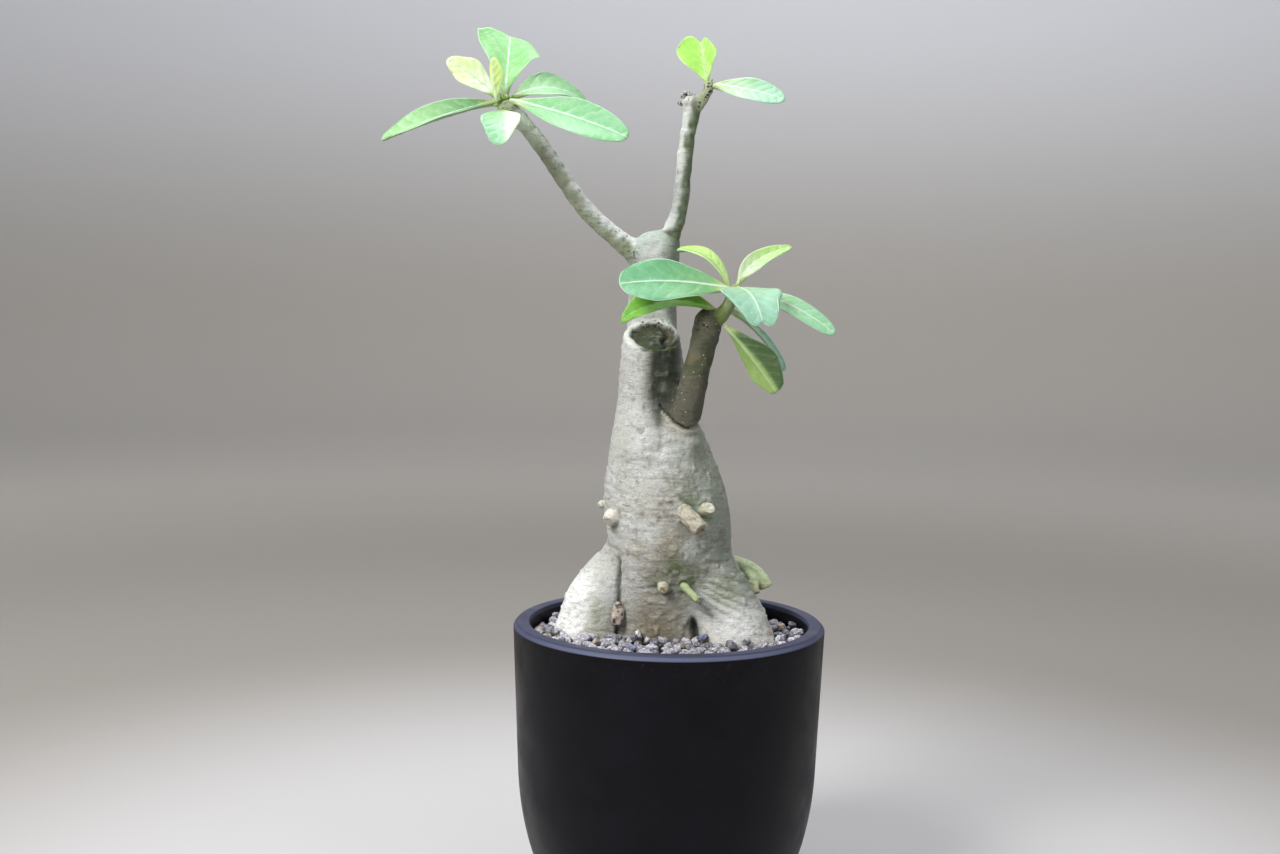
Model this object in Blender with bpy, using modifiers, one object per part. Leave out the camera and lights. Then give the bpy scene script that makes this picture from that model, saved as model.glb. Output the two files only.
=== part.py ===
"""Potted desert rose (adenium): a swollen, pruned caudex with three leafy branches in a plain round pot.

Lengths are in metres, +Z is up, and the origin is on the pot's axis at the surface it stands on.
+X is to the right and -Y to the front, where the cut column and the low side branch are.
"""

import math

import bmesh
import bpy
from mathutils import Vector

MM = 0.001

# The pot
POT_HEIGHT = 120 * MM
POT_RADIUS = 62.5 * MM
POT_TAPER = 0.040  # radius lost for each unit of depth below the rim
BELLY_HEIGHT = 60 * MM  # below this the wall curves in towards the base
BELLY_REACH = 32.5 * MM
BELLY_DEPTH = 66 * MM
WALL = 6.4 * MM
RIM_BEVEL = 1.7 * MM
FOOT_ROUND = 3 * MM
FLOOR = 8 * MM
DRAIN_HOLES = 3
DRAIN_RADIUS = 4.5 * MM
DRAIN_RING = 19 * MM
ROUND_STEPS = 56
WALL_LEVELS = 8

# What fills it
GAP = 0.35 * MM  # clearance between neighbouring pieces
DRAINAGE_TOP = 26 * MM
MIX_TOP = 106 * MM
GRAVEL_TOP = 113 * MM

# The plant
LIMB_SIDES = 20
CAUDEX_VOXEL = 2.2 * MM
CAUDEX_KEEP = 0.17  # share of the caudex's faces that its decimation keeps
CLEARANCE_KEEP = 0.2  # the same for the cutter that gives the caudex its clearance
CUT_SLOPE = math.radians(32)
CUT_BACK_EDGE = (-8.8 * MM, 7.5 * MM, 239.5 * MM)
CUT_SLAB = (32 * MM, 30 * MM, 16 * MM)
LEAF_THICKNESS = 0.9 * MM
LEAF_COLUMNS = 4
LEAF_ROWS = 9
PETIOLE_HALF_WIDTH = 1.1 * MM

# Limbs of the caudex, as stations of x, y, z and radius in millimetres
CAUDEX_LIMBS = {
    "trunk": [
        (-3, 9, 84, 14), (-3, 8, 100, 19), (-1, 8, 118, 21), (2, 8, 136, 23.2),
        (0.6, 8, 150, 25), (-1.2, 8, 160, 25.4), (-2.8, 8, 170, 25), (-4.6, 7.5, 182, 22.3),
        (-6.1, 7, 193, 19), (-7.2, 6.5, 203, 16.1), (-8.2, 5.5, 214, 13.9), (-8.8, 4, 226, 12.3),
        (-8.8, 2.5, 235, 11.4), (-8.8, 2, 240.6, 9.8),
    ],
    "centre_lobe": [(-4, 9, 92, 12), (-4.5, 6, 104, 15), (-4.3, 6, 116, 15.4), (-3, 6, 130, 17), (0, 7, 145, 18)],
    "right_lobe": [(30, -5, 88, 10), (29, -5, 101, 15), (26.5, -4, 113, 16), (21.5, -2, 125, 14.6),
                   (14, 1, 138, 14), (7, 5, 152, 13)],
    "left_lobe": [(-38, -1, 88, 9), (-36, 1, 100, 12.5), (-33.5, 4, 113, 13.6), (-27.5, 8, 127, 13.6),
                  (-19, 11, 138, 12.4), (-9, 12, 148, 10)],
    "back_lobe": [(6, 34, 88, 10), (5, 31, 101, 15), (4, 27, 115, 17), (2, 20, 132, 17), (0, 13, 150, 15)],
    "leader": [(-6, 13, 190, 13), (-8, 17, 206, 12), (-9, 18, 224, 10.8), (-9.2, 17, 242, 10.1),
               (-8.4, 16, 256, 10.3), (-8, 15.5, 265, 10.2), (-8.6, 15.5, 272, 8.2), (-9, 15.5, 276, 4.2)],
    "side_collar": [(0, 3, 184, 9), (3, -1.5, 192, 9.4), (5, -6.5, 199, 8.2)],
    "left_fork": [(-8, 16, 258, 7), (-14, 15.2, 265, 6), (-18, 14.6, 268.5, 4.6)],
    "right_fork": [(-8, 16, 262, 7), (-4, 15.8, 270, 5.6), (-1.6, 15.4, 275, 4.4)],
    "tap_root": [(-3, 9, 66, 3), (-3, 9, 76, 9), (-3, 9, 92, 15)],
}

# Branches and soft shoots that carry the leaves
BRANCHES = {
    "branch_left": [(-14, 15.4, 264.5, 4.2), (-20, 14.2, 270, 3.9), (-27, 12.4, 275.5, 3.4), (-36.3, 10, 284, 3.25),
                    (-46.4, 7, 298, 3.1), (-56.3, 4, 312, 3), (-63.2, 2.4, 319, 3), (-67.4, 1.2, 322.8, 3),
                    (-69, 0.8, 324.4, 2)],
    "branch_right": [(-4, 15.8, 269, 4), (-1.6, 15.4, 275, 3.8), (1.2, 14.5, 283, 3.35), (2.5, 13.5, 294, 3.1),
                     (3.1, 12.5, 304, 3.1), (4.4, 11.5, 316, 3), (5.6, 11, 322.5, 3.5), (5, 11, 327, 3.4),
                     (4.6, 11, 328.4, 2)],
    "branch_side": [(3.4, -3, 197, 5.6), (4.6, -7, 202.5, 6.2), (5.7, -9, 208, 6.1), (7.5, -10.4, 216, 5.7),
                    (9.3, -10.6, 224, 5.3), (11.3, -10.8, 232, 5.3), (12.6, -11, 239, 5.7), (13, -11, 243.5, 4.8),
                    (13, -11, 245.8, 2.6)],
}
SHOOTS = {
    "shoot_right": ("branch_right", [(5.6, 10.6, 321.5, 2.2), (8.6, 10.2, 325.6, 2.2), (11.2, 10, 330, 2),
                                     (12.6, 10, 333.4, 1.9), (13, 10, 334.8, 1.2)]),
    "shoot_side": ("branch_side", [(13.5, -11.4, 240.4, 2.9), (17.6, -12.4, 242.8, 2.9), (20.4, -13.2, 247, 2.6),
                                   (22.6, -13.8, 252, 2.4), (23.6, -14, 255.4, 1.6)]),
}

# Side shoots that were cut back to stubs
STUBS = {
    "stub_front": [(1, -9, 169, 3), (5, -15.5, 166.4, 3.2), (9.2, -20, 162.8, 3.2), (11.6, -22.8, 160.8, 2.8)],
    "stub_front_small": [(12, -6, 166, 2.6), (14, -13, 167, 2.7), (14.8, -17, 168.6, 2)],
    "stub_left": [(-18, -1, 165.5, 2.6), (-22.6, -5.4, 163.6, 3), (-24.6, -8.2, 161.4, 2.5)],
    "stub_left_tip": [(-22, 7, 166.6, 1.6), (-27.2, 6.6, 166, 1.5), (-29.4, 6.6, 165.4, 0.9)],
    "stub_low": [(-2.4, -9, 138, 1.8), (-2.8, -16, 136.8, 2), (-3, -19, 136, 1.6)],
    "cut_shoot_low": [(3, -10, 140, 1.3), (6.5, -17, 136.4, 1.3), (11, -21.6, 133, 1.5)],
    "root_stub_left": [(-19, 1, 128, 1.5), (-21, -5, 125.5, 1.5), (-22.3, -9, 119, 1.2)],
}
FORKED_SHOOT = [(18, 16, 140.6, 2.9), (27, 13.8, 141.4, 2.8), (33.6, 11.8, 139.4, 2.6), (38, 10.2, 135.8, 2.4),
                (40, 9.6, 132.4, 2.5)]
FORK_TINE = [(31, 12, 139.6, 1.9), (34, 8.4, 136.2, 1.7), (35, 5.8, 130.6, 1.8)]

# A rosette is the crown that its leaves leave from: x, y, z and radius in millimetres
ROSETTES = {
    "left": (-68, 1, 324.4, 3.1),
    "right": (12.7, 10, 333.2, 2),
    "side": (22.8, -13.8, 253, 2.4),
    "side_middle": (19.6, -13, 246, 2.9),
    "side_low": (16.5, -12, 238.5, 3.6),
}


def leaf(rosette, heading, rise, length, width, **shape):
    """A leaf's design: directions in degrees, lengths in millimetres, and how it departs from a plain blade."""
    plain = dict(droop=0, sweep=0, roll=0, twist=0, fold=12, swell=1.3, widest=0.62, end=0.6, rounding=0.2,
                 notch=0.0, skew=0.0, narrow=0.0, lift=0.0)
    return {"rosette": rosette, "heading": heading, "rise": rise, "length": length, "width": width,
            **plain, **shape}


# heading 0 points along +X and 90 along +Y, away from the front; rise is the angle above level
LEAVES = {
    "leaf_left_crown": leaf("left", 88, 66, 31, 27, droop=18, fold=16, swell=1.9, widest=1, rounding=0.14,
                            skew=-0.25, lift=1.4),
    "leaf_left_pale": leaf("left", 186, 40, 23, 14, droop=10, roll=-56, fold=12, lift=2.6),
    "leaf_left_bud": leaf("left", -130, 74, 15, 8, droop=-14, fold=20, lift=2.2),
    "leaf_left_back": leaf("left", 30, 32, 35, 19, droop=68, roll=34, fold=14, lift=2),
    "leaf_left_long": leaf("left", -16, -11, 49.5, 17, droop=12, roll=52, fold=10, lift=0.8),
    "leaf_left_arching": leaf("left", 184, -14, 47, 14, droop=11, roll=-36, fold=30, widest=0.45, end=0.3,
                              lift=0.2),
    "leaf_left_front": leaf("left", -90, -10, 25, 15.6, droop=52, fold=14, swell=1.5, widest=0.6, end=0.88,
                            rounding=0.16, lift=-3.8),
    "leaf_right_heart": leaf("right", 114, 68, 17.5, 21, fold=20, roll=-42, swell=1.7, widest=0.86, end=0.8,
                             rounding=0.1, notch=0.15, skew=-0.12, narrow=0.36, lift=1),
    "leaf_right_pale": leaf("right", -12, -5, 28, 13, droop=14, roll=46, fold=10),
    "leaf_side_broad": leaf("side", 192, 12, 43, 20, droop=21, roll=-50, fold=8, widest=0.68, end=0.8,
                            rounding=0.24, lift=0.5),
    "leaf_side_under": leaf("side_middle", 184, 28, 40, 10, droop=72, roll=-20, fold=30, end=0.3),
    "leaf_side_young_left": leaf("side", 150, 70, 29, 7.5, droop=80, roll=-20, fold=16, end=0.5, lift=1.5),
    "leaf_side_young_right": leaf("side", 52, 49, 28, 8.5, droop=38, sweep=-56, roll=30, twist=20, fold=18,
                                  widest=0.42, end=0.35, lift=3),
    "leaf_side_front": leaf("side", -72, 5, 29, 25, droop=60, fold=6, notch=0.1, end=0.75, rounding=0.42),
    "leaf_side_long": leaf("side", -14, -8, 40, 9.5, droop=32, roll=44, fold=8),
    "leaf_side_hanging": leaf("side_low", -20, -46, 31.5, 16.5, droop=8, roll=-72, fold=20, widest=0.7, end=0.8),
    "leaf_side_behind": leaf("side_middle", 24, -30, 32, 9, droop=36, sweep=-34, roll=20, fold=10, lift=-1),
}


def clear_scene():
    for old in list(bpy.data.objects):
        bpy.data.objects.remove(old, do_unlink=True)


def new_collection(name):
    collection = bpy.data.collections.new(name)
    bpy.context.scene.collection.children.link(collection)
    return collection


def principled(name, colour, roughness):
    made = bpy.data.materials.new(name)
    made.use_nodes = True
    shader = made.node_tree.nodes["Principled BSDF"]
    shader.inputs["Base Color"].default_value = (*colour, 1)
    shader.inputs["Roughness"].default_value = roughness
    shader.inputs["Metallic"].default_value = 0
    return made


def place(name, mesh, collection, material):
    made = bpy.data.objects.new(name, mesh)
    made.data.materials.append(material)
    collection.objects.link(made)
    return made


def evaluated_mesh(thing):
    bpy.context.view_layer.update()
    graph = bpy.context.evaluated_depsgraph_get()
    return bpy.data.meshes.new_from_object(thing.evaluated_get(graph))


def freeze(thing):
    """Applies an object's modifiers, so that its surface no longer depends on them."""
    mesh = evaluated_mesh(thing)
    thing.modifiers.clear()
    thing.data = mesh


def subtract(thing, cutter):
    cut = thing.modifiers.new("cut_" + cutter.name, "BOOLEAN")
    cut.operation = "DIFFERENCE"
    cut.object = cutter


def smooth_stations(stations, steps):
    """Catmull-Rom points through stations of x, y, z and radius, so that a few stations give a smooth limb."""
    knots = [Vector(station) * MM for station in stations]
    knots = [2 * knots[0] - knots[1], *knots, 2 * knots[-1] - knots[-2]]
    path = []
    for before, start, end, after in zip(knots, knots[1:], knots[2:], knots[3:]):
        for step in range(steps):
            t = step / steps
            path.append(0.5 * (2 * start + (end - before) * t
                               + (2 * before - 5 * start + 4 * end - after) * t * t
                               + (3 * start - before - 3 * end + after) * t * t * t))
    path.append(knots[-2])
    return path


def limb_mesh(name, stations, sides, steps=3):
    """A closed round limb through the stations, as a mesh."""
    path = smooth_stations(stations, steps)
    curve = bpy.data.curves.new(name + "_path", "CURVE")
    curve.dimensions = "3D"
    curve.bevel_depth = 1
    curve.bevel_resolution = sides // 2 - 2
    curve.use_fill_caps = True
    spline = curve.splines.new("POLY")
    spline.points.add(len(path) - 1)
    for point, station in zip(spline.points, path):
        point.co = (*station[:3], 1)
        point.radius = station[3]
    guide = bpy.data.objects.new(name + "_path", curve)
    bpy.context.scene.collection.objects.link(guide)
    mesh = evaluated_mesh(guide)
    bpy.data.objects.remove(guide)
    form = bmesh.new()
    form.from_mesh(mesh)
    bmesh.ops.remove_doubles(form, verts=form.verts, dist=0.01 * MM)
    bmesh.ops.recalc_face_normals(form, faces=form.faces)
    form.to_mesh(mesh)
    form.free()
    mesh.name = name
    return mesh


def joined(meshes, name):
    form = bmesh.new()
    for mesh in meshes:
        form.from_mesh(mesh)
    result = bpy.data.meshes.new(name)
    form.to_mesh(result)
    form.free()
    return result


def voxel_union(thing, voxel, smoothing):
    remesh = thing.modifiers.new("union", "REMESH")
    remesh.mode = "VOXEL"
    remesh.voxel_size = voxel
    soften = thing.modifiers.new("soften", "SMOOTH")
    soften.factor = 0.5
    soften.iterations = smoothing


def pot_outer_radius(z):
    """The wall's outside: a slight taper, then a quarter ellipse that turns in towards the base."""
    radius = POT_RADIUS - POT_TAPER * (POT_HEIGHT - z)
    drop = max(0.0, BELLY_HEIGHT - z) / BELLY_DEPTH
    return radius - BELLY_REACH * (1 - math.sqrt(1 - drop * drop))


def pot_inner_radius(z):
    return pot_outer_radius(z) - WALL


def heights(start, stop, count):
    return [start + (stop - start) * step / count for step in range(count + 1)]


def wall_profile(bottom, top):
    """The wall's inside between two heights, on the same facets whatever the heights are."""
    levels = heights(FLOOR, POT_HEIGHT, WALL_LEVELS)
    facets = list(zip(levels, levels[1:]))
    profile = []
    for z in sorted({bottom, top, *(level for level in levels if bottom < level < top)}):
        low, high = next(facet for facet in facets if z <= facet[1] + 1e-9)
        share = (z - low) / (high - low)
        profile.append((pot_inner_radius(low) * (1 - share) + pot_inner_radius(high) * share, z))
    return profile


def turned(name, profile, collection, material):
    """A solid of revolution from (radius, height) points that end on the axis, outer side running down."""
    mesh = bpy.data.meshes.new(name)
    mesh.from_pydata([(r, 0, z) for r, z in profile], [(i, i + 1) for i in range(len(profile) - 1)], [])
    made = place(name, mesh, collection, material)
    screw = made.modifiers.new("turn", "SCREW")
    screw.steps = ROUND_STEPS
    screw.render_steps = ROUND_STEPS
    screw.use_merge_vertices = True
    screw.merge_threshold = 0.0001
    return made


def make_pot(parts, helpers, material):
    inside = wall_profile(FLOOR, POT_HEIGHT)
    outside = [(pot_outer_radius(z), z) for z in heights(BELLY_HEIGHT, FOOT_ROUND, 7)]
    base_radius = pot_outer_radius(FOOT_ROUND) - FOOT_ROUND
    rim = [(POT_RADIUS - RIM_BEVEL, POT_HEIGHT), (pot_outer_radius(POT_HEIGHT - RIM_BEVEL), POT_HEIGHT - RIM_BEVEL)]
    foot = [(base_radius + 0.3 * FOOT_ROUND, 0.8 * MM), (base_radius - 0.4 * FOOT_ROUND, 0)]
    pot = turned("pot", [(0, FLOOR), *inside, *rim, *outside, *foot, (0, 0)], parts, material)
    for hole in range(DRAIN_HOLES):
        angle = math.tau * (hole + 0.5) / DRAIN_HOLES
        form = bmesh.new()
        bmesh.ops.create_cone(form, cap_ends=True, segments=16, radius1=DRAIN_RADIUS, radius2=DRAIN_RADIUS,
                              depth=4 * FLOOR)
        drill_mesh = bpy.data.meshes.new("drain_drill")
        form.to_mesh(drill_mesh)
        form.free()
        drill = as_cutter(f"drain_drill_{hole + 1}", drill_mesh, helpers)
        drill.location = (DRAIN_RING * math.cos(angle), DRAIN_RING * math.sin(angle), 0)
        subtract(pot, drill)
    return pot


def as_cutter(name, mesh, helpers):
    made = bpy.data.objects.new(name, mesh)
    made.hide_render = True
    made.display_type = "WIRE"
    helpers.objects.link(made)
    return made


def make_fill(name, bottom, top, parts, material):
    """A layer that fills the pot between two heights, just clear of the wall."""
    side = [(radius - 1.5 * GAP, z) for radius, z in reversed(wall_profile(bottom, top))]
    return turned(name, [(0, top), *side, (0, bottom)], parts, material)


def make_pruning_cut(helpers):
    """A slab whose lower face is the slanting saw cut on top of the front column."""
    form = bmesh.new()
    bmesh.ops.create_cube(form, size=1)
    bmesh.ops.scale(form, vec=CUT_SLAB, verts=form.verts)
    mesh = bpy.data.meshes.new("pruning_cut")
    form.to_mesh(mesh)
    form.free()
    slab = as_cutter("pruning_cut", mesh, helpers)
    slab.rotation_euler.x = CUT_SLOPE
    back_edge = Vector((0, CUT_SLAB[1] / 2, -CUT_SLAB[2] / 2))
    back_edge.rotate(slab.rotation_euler)
    slab.location = Vector(CUT_BACK_EDGE) - back_edge
    return slab


def make_caudex(parts, helpers, material):
    limbs = [limb_mesh(name, stations, LIMB_SIDES) for name, stations in CAUDEX_LIMBS.items()]
    caudex = place("caudex", joined(limbs, "caudex"), parts, material)
    voxel_union(caudex, CAUDEX_VOXEL, 4)
    thin = caudex.modifiers.new("thin", "DECIMATE")
    thin.ratio = CAUDEX_KEEP
    subtract(caudex, make_pruning_cut(helpers))
    freeze(caudex)
    return caudex


def grown_copy(thing, helpers, name, by=2.4 * GAP, voxel=2 * MM):
    """A cutter that stands a little proud of a piece all over, so that what it cuts keeps its distance."""
    cutter = as_cutter(name, thing.data.copy(), helpers)
    grow = cutter.modifiers.new("grow", "DISPLACE")
    grow.strength = by
    grow.mid_level = 0
    remesh = cutter.modifiers.new("clean", "REMESH")
    remesh.mode = "VOXEL"
    remesh.voxel_size = voxel
    thin = cutter.modifiers.new("thin", "DECIMATE")
    thin.ratio = CLEARANCE_KEEP
    freeze(cutter)
    return cutter


def make_limb(name, stations, parts, material, sides=12, steps=2):
    return place(name, limb_mesh(name, stations, sides, steps), parts, material)


def blade_half_width(leaf, v):
    """Half the blade's width at a share v of its length: a narrow stalk, a swelling and a rounded shoulder."""
    full = 0.5 * leaf["width"] * MM
    if v <= leaf["widest"]:
        swell = math.sin(0.5 * math.pi * v / leaf["widest"]) ** leaf["swell"]
        return PETIOLE_HALF_WIDTH + (full - PETIOLE_HALF_WIDTH) * swell
    past = (v - leaf["widest"]) / (1 - leaf["widest"])
    return full * math.sqrt(1 - past * past * (1 - leaf["end"] ** 2))


def midrib_frames(leaf, count=60, overrun=1.3):
    """Points along the midrib with the blade's across and upward directions there."""
    x, y, z, radius = (value * MM for value in ROSETTES[leaf["rosette"]])
    heading = math.radians(leaf["heading"])
    reach = radius + 1.4 * GAP
    point = Vector((x + reach * math.cos(heading), y + reach * math.sin(heading), z + leaf["lift"] * MM))
    length = leaf["length"] * MM
    frames = []
    for step in range(count + 1):
        share = overrun * step / count
        turn = heading + math.radians(leaf["sweep"]) * share
        climb = math.radians(leaf["rise"] - leaf["droop"] * share)
        roll = math.radians(leaf["roll"] + leaf["twist"] * share)
        along = Vector((math.cos(climb) * math.cos(turn), math.cos(climb) * math.sin(turn), math.sin(climb)))
        up = Vector((-math.sin(climb) * math.cos(turn), -math.sin(climb) * math.sin(turn), math.cos(climb)))
        across = along.cross(up)
        frames.append((point.copy(), across * math.cos(roll) - up * math.sin(roll),
                       up * math.cos(roll) + across * math.sin(roll)))
        point += along * length * overrun / count
    return frames, overrun


def blade_point(leaf, frames, overrun, u, v):
    """Where the blade is at u across, from -1 to 1, and v along, from 0 to 1."""
    tip = v * v
    lobes = leaf["notch"] * (1 - (2 * abs(u) - 1) ** 2) - leaf["rounding"] * u * u + leaf["skew"] * u
    reach = v + tip * lobes * leaf["width"] / leaf["length"]
    place_along = max(0.0, min(reach / overrun, 1)) * (len(frames) - 1)
    low = min(int(place_along), len(frames) - 2)
    blend = place_along - low
    point, across, up = (a.lerp(b, blend) for a, b in zip(frames[low], frames[low + 1]))
    half = blade_half_width(leaf, v) * (1 - leaf["narrow"] * max(u, 0) / max(abs(u), 0.01))
    fold = math.radians(leaf["fold"])
    return point + across * (u * half * math.cos(fold)) + up * (abs(u) * half * math.sin(fold))


def make_leaf(name, design, parts, material):
    form = bmesh.new()
    bmesh.ops.create_grid(form, x_segments=LEAF_COLUMNS, y_segments=LEAF_ROWS, size=1)
    frames, overrun = midrib_frames(design)
    for vert in form.verts:
        vert.co = blade_point(design, frames, overrun, vert.co.x, 0.5 + 0.5 * vert.co.y)
    mesh = bpy.data.meshes.new(name)
    form.to_mesh(mesh)
    form.free()
    made = place(name, mesh, parts, material)
    thicken = made.modifiers.new("thickness", "SOLIDIFY")
    thicken.thickness = LEAF_THICKNESS
    thicken.offset = 0
    return made


def build():
    clear_scene()
    parts = new_collection("potted_desert_rose")
    helpers = new_collection("cutters")
    pot_black = principled("pot_black", (0.012, 0.013, 0.02), 0.45)
    mix_brown = principled("mix_brown", (0.05, 0.035, 0.025), 0.95)
    gravel_grey = principled("gravel_grey", (0.22, 0.21, 0.22), 0.9)
    bark = principled("bark", (0.42, 0.43, 0.36), 0.7)
    branch_bark = principled("branch_bark", (0.28, 0.3, 0.2), 0.65)
    soft_stem = principled("soft_stem", (0.3, 0.42, 0.16), 0.5)
    leaf_green = principled("leaf_green", (0.16, 0.42, 0.12), 0.4)
    young_green = principled("young_green", (0.42, 0.62, 0.12), 0.4)

    make_pot(parts, helpers, pot_black)
    make_fill("drainage_layer", FLOOR + GAP, DRAINAGE_TOP, parts, gravel_grey)
    mix = make_fill("potting_mix", DRAINAGE_TOP + GAP, MIX_TOP, parts, mix_brown)
    gravel = make_fill("top_dressing", MIX_TOP + GAP, GRAVEL_TOP, parts, gravel_grey)

    caudex = make_caudex(parts, helpers, bark)
    caudex_cutter = grown_copy(caudex, helpers, "caudex_clearance")
    for layer in (mix, gravel):
        subtract(layer, caudex_cutter)

    for name, stations in BRANCHES.items():
        branch = make_limb(name, stations, parts, branch_bark)
        subtract(branch, caudex_cutter)
        freeze(branch)
    for name, (parent, stations) in SHOOTS.items():
        shoot = make_limb(name, stations, parts, soft_stem, sides=10)
        parent_cutter = grown_copy(bpy.data.objects[parent], helpers, parent + "_clearance", voxel=0.8 * MM)
        subtract(shoot, parent_cutter)
    for name, stations in STUBS.items():
        subtract(make_limb(name, stations, parts, branch_bark, sides=10), caudex_cutter)

    forked = make_limb("forked_shoot", FORKED_SHOOT, parts, soft_stem, sides=10)
    tine = as_cutter("fork_tine", limb_mesh("fork_tine", FORK_TINE, 8, 2), helpers)
    join = forked.modifiers.new("tine", "BOOLEAN")
    join.operation = "UNION"
    join.object = tine
    subtract(forked, caudex_cutter)

    for name, design in LEAVES.items():
        young = any(word in name for word in ("pale", "bud", "heart", "young"))
        make_leaf(name, design, parts, young_green if young else leaf_green)

    for thing in parts.objects:
        thing.data.shade_smooth()
        thing.data.set_sharp_from_angle(angle=math.radians(40))


build()
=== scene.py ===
"""The looks of a potted desert rose (adenium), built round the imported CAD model.

Everything woody is one continuous skin grown over the CAD solids. The leaves, the gravel and the pot are
rebuilt in fine meshes where their CAD nodes stand. Lengths in the tables are millimetres.
"""

import itertools
import math

import bmesh
import bpy
import numpy as np
from mathutils import Matrix, Vector
from mathutils.bvhtree import BVHTree


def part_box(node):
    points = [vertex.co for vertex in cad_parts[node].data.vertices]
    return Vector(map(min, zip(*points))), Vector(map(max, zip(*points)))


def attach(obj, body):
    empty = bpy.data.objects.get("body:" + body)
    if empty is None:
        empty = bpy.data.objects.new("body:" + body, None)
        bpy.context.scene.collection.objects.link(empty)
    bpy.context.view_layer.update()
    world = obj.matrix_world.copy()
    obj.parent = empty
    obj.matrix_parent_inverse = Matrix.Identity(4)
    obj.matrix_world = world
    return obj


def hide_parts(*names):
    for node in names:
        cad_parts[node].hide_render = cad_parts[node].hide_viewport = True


MM = 0.001

# The woody skin
SKIN_VOXEL = 0.75 * MM
STUB_VOXEL = 0.3 * MM
TRUNK_VOXEL = 1.1 * MM
FILLET = 0.9 * MM  # creases between limbs are rounded about this much
WOODY_NODES = ("branch_left", "branch_right", "branch_side", "shoot_right", "shoot_side")
TRUNK_MIDDLE = (-2, 7)
CUT_SLOPE = math.radians(32)

# Crowns: middle, how far the bud scales stand off it, how many there are, and their size
CROWNS = {
    "left_crown": ((-68, 0.6, 324.6), 2.6, 11, 1.25),
    "right_crown": ((12.8, 10, 333.6), 1.5, 6, 0.9),
    "side_crown": ((22.8, -13.8, 253.4), 1.9, 8, 1.0),
}

# Leaves
BLADE_COLUMNS = 34
BLADE_ROWS = 84
MIDRIB_SPAN = (-0.1, 1.3, 64)  # first and last share of a leaf's length, and how many points
PETIOLE_HALF_WIDTH = 1.1
STALK_OVERLAP = 1.6  # how far a leaf's stalk reaches back into the crown it grows from

# Pot
POT_TAPER = 0.040
BELLY_HEIGHT = 60
BELLY_REACH = 32.5
BELLY_DEPTH = 66
WALL = 6.4
POT_FLOOR = 8
POT_SIDES = 160
CORNER_STEPS = 5
DRAIN_RADIUS = 4.5 * MM
DRAIN_RING = 19 * MM

# Gravel
GRAVEL_SEED = 11
STONES = 300
STONE_TRIES = 26000


def srgb(red, green, blue, level=1.0):
    """The linear colour that a shader takes, from a colour as it looks on a screen."""
    values = [value / 255 for value in (red, green, blue)]
    return tuple(level * (v / 12.92 if v <= 0.04045 else ((v + 0.055) / 1.055) ** 2.4) for v in values)


# ---------------------------------------------------------------- shared helpers


def smoothstep(low, high, value):
    share = np.clip((value - low) / (high - low), 0, 1)
    return share * share * (3 - 2 * share)


def bell(offset, width):
    """1 where the offset is 0, falling away like a bell curve on both sides."""
    return np.exp(-(offset / width) ** 2)


def coat(colour, rows):
    """A screen colour, once for each row."""
    return np.tile(srgb(*colour), (len(rows), 1))


def blend(old, new, share):
    """Moves rows of colour towards a new colour by a share for each row."""
    return old + (np.asarray(new) - old) * np.asarray(share)[:, None]


def field(points, seed=0):
    """Smooth noise from -1 to 1 at many points at once, one lattice cell to a unit."""
    cell = np.floor(points).astype(np.int64)
    inside = points - cell
    inside = inside * inside * (3 - 2 * inside)
    total = np.zeros(len(points))
    for corner in itertools.product((0, 1), repeat=3):
        at = cell + corner
        mixed = (at[:, 0] * 73856093) ^ (at[:, 1] * 19349663) ^ (at[:, 2] * 83492791) ^ (seed * 5915587277)
        mixed = (mixed ^ (mixed >> 13)) * 1274126177 & 0xFFFFFFFF
        mixed = (mixed ^ (mixed >> 16)) & 0xFFFF
        weight = np.prod(np.where(corner, inside, 1 - inside), axis=1)
        total += weight * (mixed / 32767.5 - 1)
    return total


def around(points, centre, reach):
    """1 at a centre, falling smoothly to 0 at a distance; reach may be one radius or three."""
    offset = (points - np.asarray(centre, float)) / reach
    return 1 - smoothstep(0, 1, np.sqrt((offset ** 2).sum(1)))


def added(name, data):
    """A new object in the scene, made from a mesh, a lamp or a camera."""
    thing = bpy.data.objects.new(name, data)
    bpy.context.scene.collection.objects.link(thing)
    return thing


def mesh_of(name, points, faces):
    """A mesh from rows of points in millimetres and rows of corner numbers."""
    mesh = bpy.data.meshes.new(name)
    mesh.from_pydata((points * MM).tolist(), [], faces)
    return mesh


def run_modifiers(mesh, *steps):
    """The mesh that a chain of (modifier kind, settings) gives."""
    thing = added("workpiece", mesh)
    for kind, settings in steps:
        modifier = thing.modifiers.new(kind.lower(), kind)
        for key, value in settings.items():
            setattr(modifier, key, value)
    bpy.context.view_layer.update()
    result = bpy.data.meshes.new_from_object(thing.evaluated_get(bpy.context.evaluated_depsgraph_get()))
    bpy.data.objects.remove(thing)
    return result


def joined(meshes):
    form = bmesh.new()
    for mesh in meshes:
        form.from_mesh(mesh)
    result = bpy.data.meshes.new("joined")
    form.to_mesh(result)
    form.free()
    return result


def search_tree(mesh):
    """A tree that finds the nearest place on a mesh."""
    form = bmesh.new()
    form.from_mesh(mesh)
    tree = BVHTree.FromBMesh(form)
    form.free()
    return tree


def face_outward(mesh):
    form = bmesh.new()
    form.from_mesh(mesh)
    bmesh.ops.recalc_face_normals(form, faces=form.faces)
    form.to_mesh(mesh)
    form.free()


def read_points(mesh):
    points = np.empty(len(mesh.vertices) * 3)
    mesh.vertices.foreach_get("co", points)
    return points.reshape(-1, 3) / MM


def read_normals(mesh):
    normals = np.empty(len(mesh.vertices) * 3)
    mesh.vertex_normals.foreach_get("vector", normals)
    return normals.reshape(-1, 3)


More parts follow.
